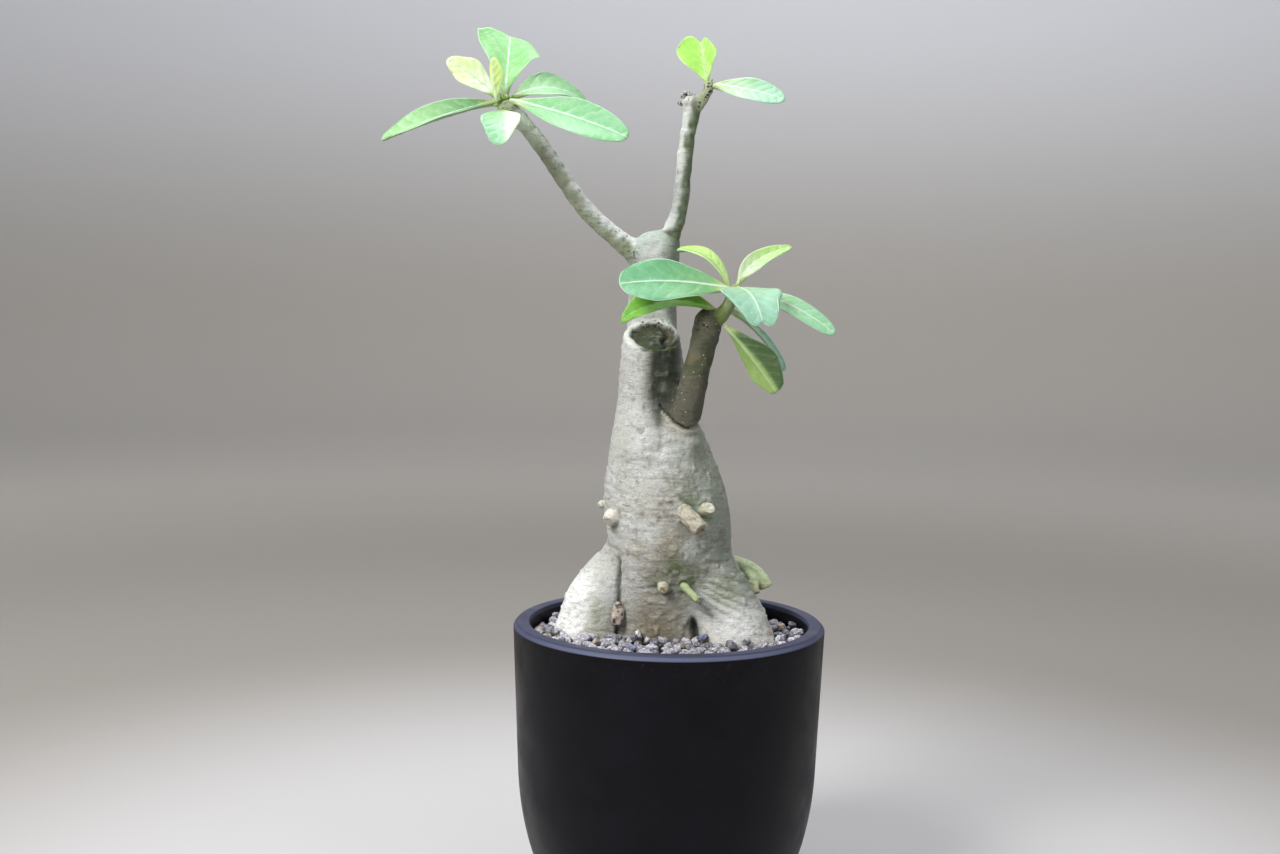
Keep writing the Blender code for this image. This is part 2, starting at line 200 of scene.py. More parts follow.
def write_points(mesh, points):
    mesh.vertices.foreach_set("co", (points * MM).ravel())
    mesh.update()


def store(mesh, name, values):
    """Keeps a number or a colour for each vertex, for the material to read."""
    values = np.asarray(values, float)
    if values.ndim == 2:
        layer = mesh.attributes.new(name, "FLOAT_COLOR", "POINT")
        layer.data.foreach_set("color", np.hstack([values, np.ones((len(values), 1))]).ravel())
    else:
        layer = mesh.attributes.new(name, "FLOAT", "POINT")
        layer.data.foreach_set("value", values.ravel())


def store_bark(mesh, tint, rough, dots, scars):
    """Stores what the bark material reads; each may be one number for the whole mesh."""
    for name, values in (("tint", tint), ("rough", rough), ("dots", dots), ("scars", scars)):
        store(mesh, name, values if np.ndim(values) else np.full(len(mesh.vertices), values))


def smoothed(values, edges, rounds):
    """Values averaged over neighbouring vertices a number of times."""
    ends = np.concatenate([edges[:, 0], edges[:, 1]])
    others = np.concatenate([edges[:, 1], edges[:, 0]])
    count = np.maximum(np.bincount(ends, minlength=len(values)), 1)
    for _ in range(rounds):
        sums = [np.bincount(ends, weights=column[others], minlength=len(values)) for column in values.T]
        values = 0.5 * values + 0.5 * np.array(sums).T / count[:, None]
    return values


def mesh_edges(mesh):
    edges = np.empty(len(mesh.edges) * 2, np.int32)
    mesh.edges.foreach_get("vertices", edges)
    return edges.reshape(-1, 2)


def piece(name, mesh, material, slot, *nodes):
    """A finished piece of the object, which stands for the CAD nodes named."""
    made = added(name, mesh)
    mesh.materials.clear()
    mesh.materials.append(material)
    mesh.shade_smooth()
    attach(made, "root")
    if nodes:
        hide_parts(*nodes)
    return made


class Nodes:
    """Short calls for building one material's node tree."""

    def __init__(self, name, roughness=0.6):
        self.material = bpy.data.materials.new(name)
        self.material.use_nodes = True
        self.tree = self.material.node_tree
        self.shader = self.tree.nodes["Principled BSDF"]
        self.shader.inputs["Roughness"].default_value = roughness

    def put(self, socket, value):
        if isinstance(value, bpy.types.NodeSocket):
            self.tree.links.new(value, socket)
        elif isinstance(value, tuple) and len(value) == 3 and len(socket.default_value) == 4:
            socket.default_value = (*value, 1)
        else:
            socket.default_value = value

    def node(self, kind, settings=(), **inputs):
        made = self.tree.nodes.new("ShaderNode" + kind)
        for key, value in dict(settings).items():
            setattr(made, key, value)
        for key, value in inputs.items():
            self.put(made.inputs[key.replace("_", " ")], value)
        return made

    def attribute(self, name, output="Fac"):
        return self.node("Attribute", {"attribute_name": name}).outputs[output]

    def place(self, scale=(1, 1, 1)):
        """Object coordinates in millimetres, stretched by a scale along each axis."""
        coordinates = self.node("TexCoord").outputs["Object"]
        stretch = self.node("VectorMath", {"operation": "MULTIPLY"})
        self.put(stretch.inputs[0], coordinates)
        self.put(stretch.inputs[1], tuple(1000 * value for value in scale))
        return stretch.outputs[0]

    def math(self, operation, first, second=0.0):
        made = self.node("Math", {"operation": operation})
        self.put(made.inputs[0], first)
        self.put(made.inputs[1], second)
        return made.outputs[0]

    def times(self, first, second):
        return self.math("MULTIPLY", first, second)

    def span(self, value, low, high, start=0.0, stop=1.0):
        """A smooth change from start to stop while the value goes from low to high."""
        made = self.node("MapRange", {"interpolation_type": "SMOOTHSTEP"}, Value=value, From_Min=low,
                         From_Max=high, To_Min=start, To_Max=stop)
        return made.outputs["Result"]

    def mix(self, share, first, second, kind="MIX"):
        made = self.node("Mix", {"data_type": "RGBA", "blend_type": kind})
        self.put(made.inputs[0], share)
        self.put(made.inputs[6], first)
        self.put(made.inputs[7], second)
        return made.outputs[2]

    def shade(self, share, colour, factor):
        """The colour, multiplied by a factor where the share is 1."""
        return self.mix(share, colour, self.mix(1.0, colour, factor, "MULTIPLY"))

    def noise(self, place, scale, detail=3.0, rough=0.55):
        made = self.node("TexNoise", Vector=place, Scale=scale, Detail=detail, Roughness=rough)
        return made.outputs["Fac"]

    def cells(self, place, scale, feature="F1"):
        made = self.node("TexVoronoi", {"feature": feature}, Vector=place, Scale=scale)
        return made.outputs["Distance"]

    def bump(self, height, depth, strength=1.0):
        """Adds a relief of a given depth in millimetres on top of any earlier one."""
        made = self.node("Bump", Strength=strength, Distance=depth * MM, Height=height)
        normal = self.shader.inputs["Normal"]
        if normal.is_linked:
            self.put(made.inputs["Normal"], normal.links[0].from_socket)
        self.put(normal, made.outputs["Normal"])

    def finish(self, colour, roughness=None):
        self.put(self.shader.inputs["Base Color"], colour)
        if roughness is not None:
            self.put(self.shader.inputs["Roughness"], roughness)
        return self.material


# ---------------------------------------------------------------- the woody skin


def woody_form(frame):
    """One closed surface over the caudex and all that grows from it."""
    nodes = frame["nodes"]
    weld = ("WELD", {"merge_threshold": 0.02 * MM})
    trunk = run_modifiers(
        nodes["caudex"].data.copy(), weld, ("SUBSURF", {"levels": 2, "render_levels": 2}),
        ("REMESH", {"mode": "VOXEL", "voxel_size": TRUNK_VOXEL}),
        ("SMOOTH", {"factor": 0.5, "iterations": 12}),
        ("DISPLACE", {"strength": FILLET + 0.15 * MM, "mid_level": 0}))
    limbs = [
        run_modifiers(nodes[name].data.copy(), weld, ("SUBSURF", {"levels": 1, "render_levels": 1}),
                      ("DISPLACE", {"strength": FILLET + 0.12 * MM, "mid_level": 0}))
        for name in WOODY_NODES]
    return run_modifiers(
        joined([trunk, *limbs]), ("REMESH", {"mode": "VOXEL", "voxel_size": SKIN_VOXEL}),
        ("SMOOTH", {"factor": 0.5, "iterations": 5}), ("DISPLACE", {"strength": -FILLET, "mid_level": 0}),
        ("SMOOTH", {"factor": 0.5, "iterations": 2}))


def belongs(points, frame, node, reach=1.6):
    """For each point, how far it belongs to a CAD node's surface, from 0 to 1."""
    low, high = (np.array(corner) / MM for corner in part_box(node))
    share = np.zeros(len(points))
    near = np.where(((points > low - reach) & (points < high + reach)).all(1))[0]
    tree = search_tree(frame["nodes"][node].data)
    for index in near:
        distance = tree.find_nearest(Vector(points[index] * MM))[3] / MM
        share[index] = 1 - smoothstep(0.6, reach, distance)
    return share


def on_cut(points):
    """Place on the pruning cut: sideways, uphill, above its plane, and share of the way out to its rim."""
    sideways = points[:, 0] + 8.9
    uphill = (points[:, 1] + 0.4) * math.cos(CUT_SLOPE) + (points[:, 2] - 234.4) * math.sin(CUT_SLOPE)
    above = -(points[:, 1] + 0.4) * math.sin(CUT_SLOPE) + (points[:, 2] - 234.4) * math.cos(CUT_SLOPE)
    return sideways, uphill, above, np.hypot(sideways / 11, uphill / 9.4)


def sculpt_cut(points, normals, height, marks):
    """The pruning cut on the front column: its bark curls over, and its face is sunken and cracked."""
    sideways, uphill, above, ring = on_cut(points)
    facing = (np.abs(above) < 3.5) & (normals[:, 2] > 0.15) & (ring < 1.3)
    wobble = ring + 0.13 * field(points / 3.2, 16) - 0.12 * smoothstep(4, 8, sideways)
    face = np.where(facing, 1 - smoothstep(0.7, 0.82, wobble - 0.05 * smoothstep(0, 6, uphill)), 0)
    rim = np.where(facing, bell(ring - 0.93, 0.14), 0)
    curl = rim * np.clip(smoothstep(-2, 4, uphill) + 0.8 * (1 - smoothstep(-7, -5, sideways)), 0, 1)
    open_front = rim * smoothstep(-6, -2, sideways) * (1 - smoothstep(-5, 1, uphill))
    crack_line = sideways - 5.0 - 0.9 * np.sin(uphill * 0.7)
    crack = np.where(facing, bell(crack_line, 0.75) * (1 - smoothstep(0.66, 0.84, ring)), 0)
    height += 0.35 * curl - 0.9 * open_front - 1.3 * face - 1.8 * crack + 0.5 * face * field(points / 1.5, 5)
    marks["cut"], marks["lip"], marks["crack"], marks["cut_front"] = face, curl, crack, open_front
    marks["tan_wood"] = face * smoothstep(5.4, 6.6, sideways)
    marks["cut_edge"] = facing * bell(wobble - 0.78, 0.06) * smoothstep(0, 4, uphill)
    marks["cut_arc"] = (facing * bell(wobble - 0.84, 0.05)
                        * (1 - smoothstep(-4, 0, uphill)) * smoothstep(-8, -5, sideways))


def sculpt_creases(points, normals, height, marks):
    """The deep slots between the lobes and the folds of bark that sweep out of them."""
    x, y, z = points.T
    front = 1 - smoothstep(-0.1, 0.5, normals[:, 1])
    slot = bell(x - 9.8 + 0.12 * (z - 118), 1.15) * (1 - smoothstep(119, 126, z)) * front * (y < 2)
    seam = (bell(x + 20.4 + 0.6 * field(points / 5, 17), 0.8) * (1 - smoothstep(138, 152, z))
            * front * (y < 8))
    height -= 3.4 * slot + 1.6 * seam
    marks["slots"] = np.clip(slot + seam, 0, 1)
    sweep = z - 134 + 0.36 * (x - 20) + 1.5 * field(points / 11, 8)
    lobe = around(points, (20, -8, 131), (21, 22, 19))
    creases = sum(bell(sweep - level, 0.6) for level in (-10, -6.6, -3.4, -0.6, 2.4, 6.4))
    low_folds = around(points, (-6, -14, 136), (14, 14, 8))
    creases_low = sum(bell(z - 133.5 - 0.1 * x + 0.8 * field(points / 7, 18) - level, 0.55)
                      for level in (-2.6, 0, 3.2))
    height -= 0.55 * lobe * creases + 0.5 * low_folds * creases_low
    marks["creases"] = np.clip(lobe * creases + low_folds * creases_low, 0, 1)


def sculpt_skin(points, normals, member):
    """The relief of the bark, in millimetres along the normals, and the marks that the colours follow."""
    x, y, z = points.T
    height = np.zeros(len(points))
    slim = np.clip(sum(member.values()), 0, 1)
    thick = 1 - slim
    marks = {}
    rough = around(points, (-4, -16, 158), (32, 30, 50)) + around(points, (-12, -6, 205), (14, 16, 44))
    rough = np.clip(rough, 0, 1)
    rough = thick * (0.35 + 0.65 * rough) * (1 - 0.7 * around(points, (-38, 0, 128), (17, 26, 30)))
    marks["rough"] = rough
    height += thick * (0.6 * field(points / 15, 1) + 0.3 * field(points / 6.5, 2))
    granules = smoothstep(-0.1, 0.75, field(points / (1.9, 1.9, 1.4), 10))
    dimples = smoothstep(0.35, 0.8, field(points / 2.3, 46))
    height += rough * (0.4 * granules - 0.42 * dimples)
    marks["granules"], marks["dimples"] = rough * granules, rough * dimples
    wrinkle = np.abs(field(points / (8, 8, 1.7), 3))
    ruffled = smoothstep(-0.1, 0.6, field(points / 17, 11)) + around(points, (14, -14, 145), (16, 18, 22))
    ruffled = np.clip(ruffled, 0, 1)
    height -= thick * (0.08 + 0.2 * ruffled) * (1 - smoothstep(0, 0.3, wrinkle))
    marks["wrinkle"] = thick * (0.3 + 0.7 * ruffled) * (1 - smoothstep(0, 0.22, wrinkle))

    warts = around(points, (-4, -12, 120), (17, 16, 18)) + 0.9 * around(points, (-13, -12, 146), (13, 16, 27))
    marks["warts"] = np.clip(warts, 0, 1) * (normals[:, 1] < 0.3)
    marks["brown_foot"] = around(points, (-6, -12, 116), (25, 24, 32)) * (normals[:, 1] < 0.3)
    knobs = smoothstep(0.2, 0.7, field(points / (2.5, 2.5, 2.1), 6))
    scattered = smoothstep(0.55, 0.8, field(points / 2.1, 7)) * thick * (z < 236)
    height += marks["warts"] * (0.95 * knobs - 0.1) + 0.45 * scattered
    marks["knobs"] = np.clip(marks["warts"] * knobs + 0.5 * scattered, 0, 1)
    for spot, reach in (((2, -12, 167), 6.2), ((13.4, -11, 168), 4.6), ((-21, -4.4, 163.6), 4.6),
                        ((-2.6, -15.4, 137), 3.6), ((5, -15, 138), 3.2)):
        collar = np.sqrt(((points - spot) ** 2).sum(1)) / reach
        height += (0.5 + 0.3 * field(points / 2.4, 53)) * bell(collar - 0.72, 0.26)
        uneven = smoothstep(-0.3, 0.5, field(points / 2.2, 54))
        # A ring of painted shade just outside each collar, where it meets the trunk.
        marks["cuffs"] = marks.get("cuffs", 0) + uneven * bell(collar - 0.96, 0.16)
    sculpt_creases(points, normals, height, marks)

    across = x + 3.9 + 1.0 * field(points / (5, 5, 9), 19)
    off = np.abs(across)
    down_column = smoothstep(197, 210, z + 5 * field(points / 5, 20))
    down_column = down_column * (1 - smoothstep(230.5, 233, z)) * (y < 3)
    # The groove down the front column, which takes a painted shadow of the leaves.
    marks["groove"] = (1 - smoothstep(3.6, 10.5, -across)) * (1 - smoothstep(4.4, 7.2, across)) * down_column
    # Where a painted highlight runs down the column's right edge.
    marks["column_edge"] = bell(x - 4.2, 0.9) * smoothstep(209, 216, z) * (z < 240) * (y < 2) * thick
    height -= 1.2 * (1 - smoothstep(0, 8, off)) * down_column

    crack_z = z - 199.1 - 0.076 * (x - 5.8) ** 2 - 0.3 * field(points / 2.5, 9)
    near_collar = (np.hypot(x - 4.4, y + 6.6) < 9.6) * (y < -4)
    marks["crack_height"] = crack_z
    marks["collar_crack"] = (near_collar * bell(crack_z, 0.62)
                             * (1 - smoothstep(6.5, 9, x + 2 * field(points / 4, 29))))
    marks["collar"] = near_collar * bell(crack_z + 1.8, 1.0)
    height += 0.7 * marks["collar"] - 1.3 * near_collar * bell(crack_z, 0.62)

    climb = points @ np.array([-0.55, 0.1, 0.83])
    left_rings = field(np.stack([climb / 1.9, x / 14, y / 14], 1), 12)
    upright_rings = field(points / (12, 12, 2.1), 13)
    height += member["branch_left"] * (0.3 + 0.24 * left_rings)
    height += 0.7 * around(points, (-65, 1.6, 321), 9) * member["branch_left"]
    height += (member["branch_right"] * (0.1 + 0.2 * upright_rings)
               + 0.12 * member["branch_side"] * upright_rings)
    height += slim * 0.22 * field(points / 1.9, 14)
    marks["rings"] = np.clip(member["branch_left"] * -left_rings, 0, 1)
    marks["rings"] += np.clip(member["branch_right"] * -upright_rings, 0, 1)

    marks["dead_tip"] = around(points, (5.1, 11, 327), 6.4) * member["branch_right"]
    pits = field(points / 1.35, 15)
    height += marks["dead_tip"] * (0.5 + 1.1 * pits)
    marks["dead_pits"] = marks["dead_tip"] * smoothstep(0.1, 0.5, -pits)
    sculpt_cut(points, normals, height, marks)
    return height, marks


def skin_colours(points, normals, member, marks, cavity):
    """The bark's colour at each vertex: pale grey, grey green, olive, brown and cream, with painted shade in
    creases, hollows, the column's groove and on sides turned from the light, and painted highlights on
    ridges, granules and lit sides.
    """
    x, y, z = points.T
    tint = coat((207, 209, 208), points)

    def paint(colour, share):
        target = srgb(*colour) if len(colour) == 3 else colour
        tint[:] = blend(tint, target, share)

    patches = smoothstep(-0.5, 0.7, field(points / 11, 21) + 0.5 * field(points / 4, 22))
    paint((184, 186, 176), 0.65 * patches)
    paint((162, 178, 168), 0.8 * smoothstep(238, 254, z) * smoothstep(4, 9, y))
    belly = around(points, (-2, -16, 150), (26, 26, 38))
    paint((152, 143, 122), 0.8 * belly * smoothstep(-0.6, 0.4, field(points / 8, 24)))
    # Painted shade: sides facing right, away from the key light, are painted a darker grey green.
    right_side_shade = smoothstep(-0.1, 0.8, normals[:, 0]) * smoothstep(-10, 2, x)
    paint((110, 122, 98), 0.72 * right_side_shade * (1 - around(points, (34, 0, 122), (16, 24, 16))))

    foot = 1 - smoothstep(114, 132, z + 5 * field(points / 5, 25))
    cream = blend(coat((238, 234, 228), points), srgb(206, 186, 156),
                  0.6 * smoothstep(0.1, 0.7, field(points / 2.8, 30)))
    paint(cream, 0.9 * foot * ((x < -22) | (x > 13)))
    paint((248, 249, 248), 0.95 * np.clip(1.7 * around(points, (-42, -4, 128), (20, 24, 28)), 0, 1))
    paint((238, 240, 238), 0.9 * np.clip(1.5 * around(points, (27, -12, 120), (14, 20, 15)), 0, 1))
    paint((126, 140, 92), 0.7 * around(points, (-29, -9, 124), (8, 10, 13)))
    paint((128, 146, 98), 0.6 * around(points, (22, -16, 136), (12, 12, 11)))
    paint((122, 110, 84), 0.92 * marks["brown_foot"] * (x > -21))
    paint((86, 90, 58), 0.9 * around(points, (2, -18, 141), (19, 14, 13)))
    paint((166, 150, 120), 0.6 * marks["knobs"] * smoothstep(-0.5, 0.4, field(points / 2.2, 26)))
    # Painted highlight on the raised granules and painted shade in the sunken dimples.
    paint((216, 214, 206), 0.3 * marks["granules"])
    paint((92, 82, 60), 0.42 * marks["dimples"])
    # Painted shade in the sculpted creases and in the fine wrinkle folds.
    paint((74, 78, 56), 0.7 * marks["creases"])
    paint((98, 94, 74), 0.5 * marks["wrinkle"])
    # Painted shade: a dark ring round each stub collar.
    paint((52, 46, 32), 0.5 * np.clip(marks["cuffs"], 0, 1))

    for spot, size in (((-24, -6, 160), 7), ((9, -17, 170), 8), ((15, -14, 163), 6), ((2, -17, 145), 6),
                       ((-6, -18, 138), 7), ((8, -18, 138), 7), ((28, 13, 140), 10), ((-20, -4, 125), 6),
                       ((-19, 13, 267), 6.5), ((1, 14, 275), 9)):
        paint((84, 108, 52), 0.75 * around(points, spot, size))
    paint((98, 80, 60), 0.75 * around(points, (-15, 11, 262), (5, 6, 7)))

    # Painted highlight: a pale line down the right edge of the front column.
    paint((198, 204, 200), 0.8 * marks["column_edge"])
    # Painted shadow of the leaves: the groove down the front column and the sunken front of the cut are
    # painted a dark shaded green.
    shadowed = (40, 50, 30)
    paint(shadowed, 0.97 * marks["groove"] * (1 - 0.2 * smoothstep(0.2, 0.7, field(points / 2.2, 47))))
    paint(shadowed, 0.95 * marks["cut_front"])
    paint((216, 222, 216), 0.95 * marks["lip"])
    paint((58, 70, 34), 0.98 * marks["cut"])
    paint((44, 46, 28), 0.75 * marks["cut"] * smoothstep(-0.1, 0.5, field(points / 2.6, 33)))
    paint((112, 104, 78), 0.85 * marks["tan_wood"])
    paint((128, 146, 92), 0.6 * marks["cut_arc"])
    paint((14, 12, 8), np.clip(1.4 * marks["crack"], 0, 1))
    paint((14, 12, 8), marks["cut_edge"] * smoothstep(-0.1, 0.2, field(points / 1.3, 34)))

    side = member["branch_side"]
    olive = blend(coat((92, 92, 76), points), srgb(70, 76, 48),
                  smoothstep(-0.3, 0.6, field(points / (4, 4, 7), 27)) * smoothstep(212, 224, z))
    paint(olive, side * smoothstep(0.2, 1.2, marks["crack_height"]))
    # Painted shade: the side branch's right-facing side is painted dark.
    paint((46, 44, 34), 0.6 * side * smoothstep(0.1, 0.95, normals[:, 0]))
    paint((118, 104, 80), 0.5 * side * smoothstep(0.2, 0.8, field(points / 3, 48)))
    paint((54, 42, 30), 0.8 * side * around(points, (12.6, -11, 247), (8, 8, 5)))
    paint((196, 190, 170), 0.7 * marks["collar"])
    paint((10, 8, 6), np.clip(1.5 * marks["collar_crack"], 0, 1))

    left, right = member["branch_left"], member["branch_right"]
    # Painted light and shade: the left branch is painted near white on top and a darker green underneath.
    underside_shade = smoothstep(-0.45, 0.35, -normals[:, 2] + 0.28 * field(points / 5, 28))
    paint((226, 230, 228), left * (1 - underside_shade))
    paint((146, 158, 128), left * underside_shade)
    paint((212, 230, 204), 0.9 * around(points, (-60, 3, 316), 16) * left)
    paint((112, 140, 70), np.clip(1.5 * around(points, (-67, 1, 323), 8) * left, 0, 0.95))
    # Painted light and shade: the right branch is painted pale where it faces left, towards the key light,
    # and dark green where it faces right.
    paint((222, 228, 224), right * (1 - smoothstep(-0.4, 0.2, normals[:, 0])))
    paint((92, 112, 76), right * smoothstep(-0.35, 0.4, normals[:, 0] + 0.4 * field(points / 3, 55)))
    paint((118, 100, 76), 0.3 * marks["rings"])
    paint((60, 54, 42), 0.55 * (left + right) * smoothstep(0.55, 0.8, field(points / 1.6, 49)))
    paint((190, 188, 184), marks["dead_tip"])
    paint((22, 18, 15), marks["dead_pits"])
    paint((150, 160, 124), member["shoot_right"])
    paint((108, 128, 56), member["shoot_side"])

    # Painted shade in hollows and the slots between lobes, and a painted highlight on ridges.
    cavity_shade = np.clip(smoothstep(0.15, 1.0, cavity) + marks["slots"], 0, 1)
    paint((40, 40, 26), 0.8 * cavity_shade)
    ridge_highlight = smoothstep(0.1, 0.5, -cavity)
    paint((216, 216, 206), 0.22 * ridge_highlight * (1 - side) * (1 - marks["groove"]))
    return tint


def bark_material(name="living_bark"):
    """Satin living bark: granules with painted highlights on top and painted shade between, fine level
    wrinkles with painted shade in their valleys, pores, pale dots and dark scars.
    """
    n = Nodes(name, 0.55)
    tint = n.attribute("tint", "Color")
    level = n.noise(n.place((0.22, 0.22, 1.3)), 1.0, 5.0, 0.6)
    granule = n.noise(n.place((1, 1, 1.2)), 0.85, 5.0, 0.72)
    fine = n.noise(n.place(), 2.4, 3.0, 0.7)
    ruffle = n.span(n.noise(n.place(), 0.07, 2.0), 0.4, 0.65, 0.2, 0.8)
    # Painted shade in the valleys of the fine wrinkles.
    lines = n.times(n.span(level, 0.3, 0.5, 1.0, 0.0), ruffle)
    colour = n.shade(lines, tint, (0.52, 0.48, 0.38))
    roughness = n.attribute("rough")
    # Painted highlight on the tops of the granules and painted shade between them.
    dark = n.times(n.span(granule, 0.48, 0.32, 0.0, 0.48), roughness)
    colour = n.shade(n.span(granule, 0.5, 0.68, 0.0, 0.5), colour, (1.3, 1.31, 1.32))
    colour = n.shade(dark, colour, (0.46, 0.42, 0.31))
    colour = n.shade(n.span(fine, 0.55, 0.38, 0.0, 0.3), colour, (0.55, 0.55, 0.5))
    pores = n.cells(n.place((1, 1, 1.4)), 0.55)
    pitted = n.times(n.span(pores, 0.08, 0.2, 0.7, 0.0), roughness)
    colour = n.shade(pitted, colour, (0.22, 0.19, 0.14))
    dots = n.times(n.span(n.cells(n.place(), 0.4), 0.07, 0.17, 0.8, 0.0), n.attribute("dots"))
    colour = n.mix(dots, colour, srgb(176, 176, 158))
    spots = n.span(n.cells(n.place((1, 1, 1.2)), 0.55), 0.22, 0.34, 1.0, 0.0)
    scars = n.times(spots, n.attribute("scars"))
    colour = n.mix(scars, colour, srgb(14, 11, 8))
    n.bump(n.times(level, ruffle), 0.7, 0.9)
    n.bump(granule, 0.8, 0.9)
    n.bump(n.span(pores, 0.0, 0.2), 0.3, 0.7)
    n.bump(n.math("SUBTRACT", 1.0, scars), 0.3, 0.8)
    return n.finish(colour, n.span(granule, 0.3, 0.7, 0.62, 0.46))


def make_skin(frame):
    mesh = woody_form(frame)
    points, normals = read_points(mesh), read_normals(mesh)
    member = {name: belongs(points, frame, name) for name in WOODY_NODES}
    height, marks = sculpt_skin(points, normals, member)
    store(mesh, "rough", 0.25 + 0.75 * marks["rough"])
    points += normals * height[:, None]
    write_points(mesh, points)
    normals = read_normals(mesh)
    edges = mesh_edges(mesh)
    cavity = ((smoothed(points, edges, 30) - points) * normals).sum(1)
    store(mesh, "tint", skin_colours(points, normals, member, marks, cavity))
    store(mesh, "dots", member["branch_side"])
    scars = (around(points, (11, -14, 241), (8, 9, 7)) * member["branch_side"]
             + 0.9 * around(points, (-17, 13, 266), (6, 7, 5)) + member["shoot_right"]
             + 0.5 * around(points, (-67, 0, 322), (6, 6, 6))
             + 0.9 * around(points, (-7, 5, 239), (14, 6, 5)) * marks["lip"])
    store(mesh, "scars", np.clip(1.6 * scars, 0, 1))
    return piece("plant_skin", mesh, bark_material(), "bark", "caudex", *WOODY_NODES)


def stub_form(frame, name, inward, rounding):
    """A fine copy of a CAD stub that reaches a little way into the trunk."""
    low, high = (np.array(corner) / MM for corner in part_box(name))
    middle = 0.5 * (low + high)
    pull = np.array([TRUNK_MIDDLE[0] - middle[0], TRUNK_MIDDLE[1] - middle[1], 0])
    pull *= inward / np.linalg.norm(pull)
    solid = run_modifiers(frame["nodes"][name].data.copy(), ("WELD", {"merge_threshold": 0.02 * MM}),
                          ("SUBSURF", {"levels": 1, "render_levels": 1, "subdivision_type": "SIMPLE"}))
    rooted = solid.copy()
    rooted.transform(Matrix.Translation(Vector(pull) * MM))
    return run_modifiers(joined([solid, rooted]), ("REMESH", {"mode": "VOXEL", "voxel_size": STUB_VOXEL}),
                         ("SMOOTH", {"factor": 0.5, "iterations": rounding}),
                         ("DISPLACE", {"strength": (0.06 + 0.012 * rounding) * MM, "mid_level": 0}))


STUB_LOOKS = {  # colour of the stub, colour of its end, where the end is, how rounded it is, and how gnarled
    "stub_front": ((196, 190, 172), (150, 124, 96), (12.2, -23.4, 160), 12, 1.8),
    "stub_front_small": ((208, 206, 184), (226, 224, 208), (15, -17.4, 169.4), 16, 1.0),
    "stub_left": ((230, 226, 214), (238, 234, 222), (-24.6, -8.2, 164), 34, 0.3),
    "stub_left_tip": ((212, 212, 202), (214, 208, 194), (-29.4, 6.6, 165.4), 12, 0.8),
    "stub_low": ((214, 208, 186), (196, 180, 150), (-3, -19.6, 136), 14, 0.8),
    "cut_shoot_low": ((178, 194, 146), (214, 222, 178), (11.4, -22, 132.8), 6, 0.6),
    "root_stub_left": ((190, 176, 166), (140, 122, 108), (-22.3, -9, 119), 20, 3.2),
    "forked_shoot": ((198, 216, 170), (164, 146, 124), (40.4, 9.6, 131.4), 8, 0.7),
}


def make_stubs(frame):
    """The cut-back side shoots, each with its own colour, a paler or browner end, and painted shade on their
    undersides.
    """
    material = bark_material("stub_bark")
    for name, (body, end, tip, rounding, gnarl) in STUB_LOOKS.items():
        mesh = stub_form(frame, name, 0.8 if name == "forked_shoot" else 1.6, rounding)
        points, normals = read_points(mesh), read_normals(mesh)
        height = gnarl * (0.2 * field(points / 1.7, 41) + 0.12 * field(points / (5, 5, 1), 42))
        at_end = np.clip(1.6 * around(points, tip, 2.6), 0, 1)
        height -= 0.35 * around(points, tip, 1.4)
        root = points.min(0) + points.max(0) - np.array(tip)
        height += gnarl * (0.45 * around(points, root, 5.5) - 0.3 * around(points, tip, 3.5))
        points += normals * height[:, None]
        write_points(mesh, points)
        tint = coat(body, points)
        if name == "forked_shoot":
            tint = blend(tint, srgb(196, 190, 152), 0.85 * smoothstep(136, 132, points[:, 2]))
            tine_end = np.clip(1.6 * around(points, (35.2, 5.4, 129.6), 2.2), 0, 1)
            tint = blend(tint, srgb(176, 160, 130), tine_end)
            # Painted highlight: the forked shoot's upward faces are painted whitish green.
            tint = blend(tint, srgb(196, 206, 172), 0.7 * smoothstep(0.3, 0.9, normals[:, 2]))
        tint = blend(tint, srgb(*end), at_end)
        # Painted shade: the undersides of every stub are painted a darker olive.
        tint = blend(tint, srgb(84, 90, 58), 0.5 * smoothstep(0.1, 0.9, -normals[:, 2]))
        tint = blend(tint, srgb(62, 54, 38), 0.3 * gnarl * smoothstep(0.3, 0.7, field(points / 1.3, 43)))
        store_bark(mesh, tint, 0.5, 0, np.clip(0.5 * at_end + 0.3 * gnarl - 0.25, 0, 1))
        slot = "green_shoot" if name in ("forked_shoot", "cut_shoot_low") else "bark"
        piece(name + "_bark", mesh, material, slot, name)


def lumps(name, places, material, slot, tint, scarred=0.0):
    """Small knobbly bodies in one mesh: each place is a middle, three half sizes, and the way it points."""
    sphere, triangles = stone_template()
    points, faces = [], []
    for number, (middle, sizes, toward) in enumerate(places):
        lump = sphere * (1 + 0.3 * field(sphere * 2.1 + 7 * number, 44)[:, None]) * sizes
        turn = np.array(Vector(toward).to_track_quat("Z", "Y").to_matrix())
        faces.append(triangles + number * len(sphere))
        points.append(lump @ turn.T + middle)
    points = np.vstack(points)
    mesh = mesh_of(name, points, np.vstack(faces).tolist())
    store_bark(mesh, tint(points), 0.5, 0, scarred)
    piece(name, mesh, material, slot)


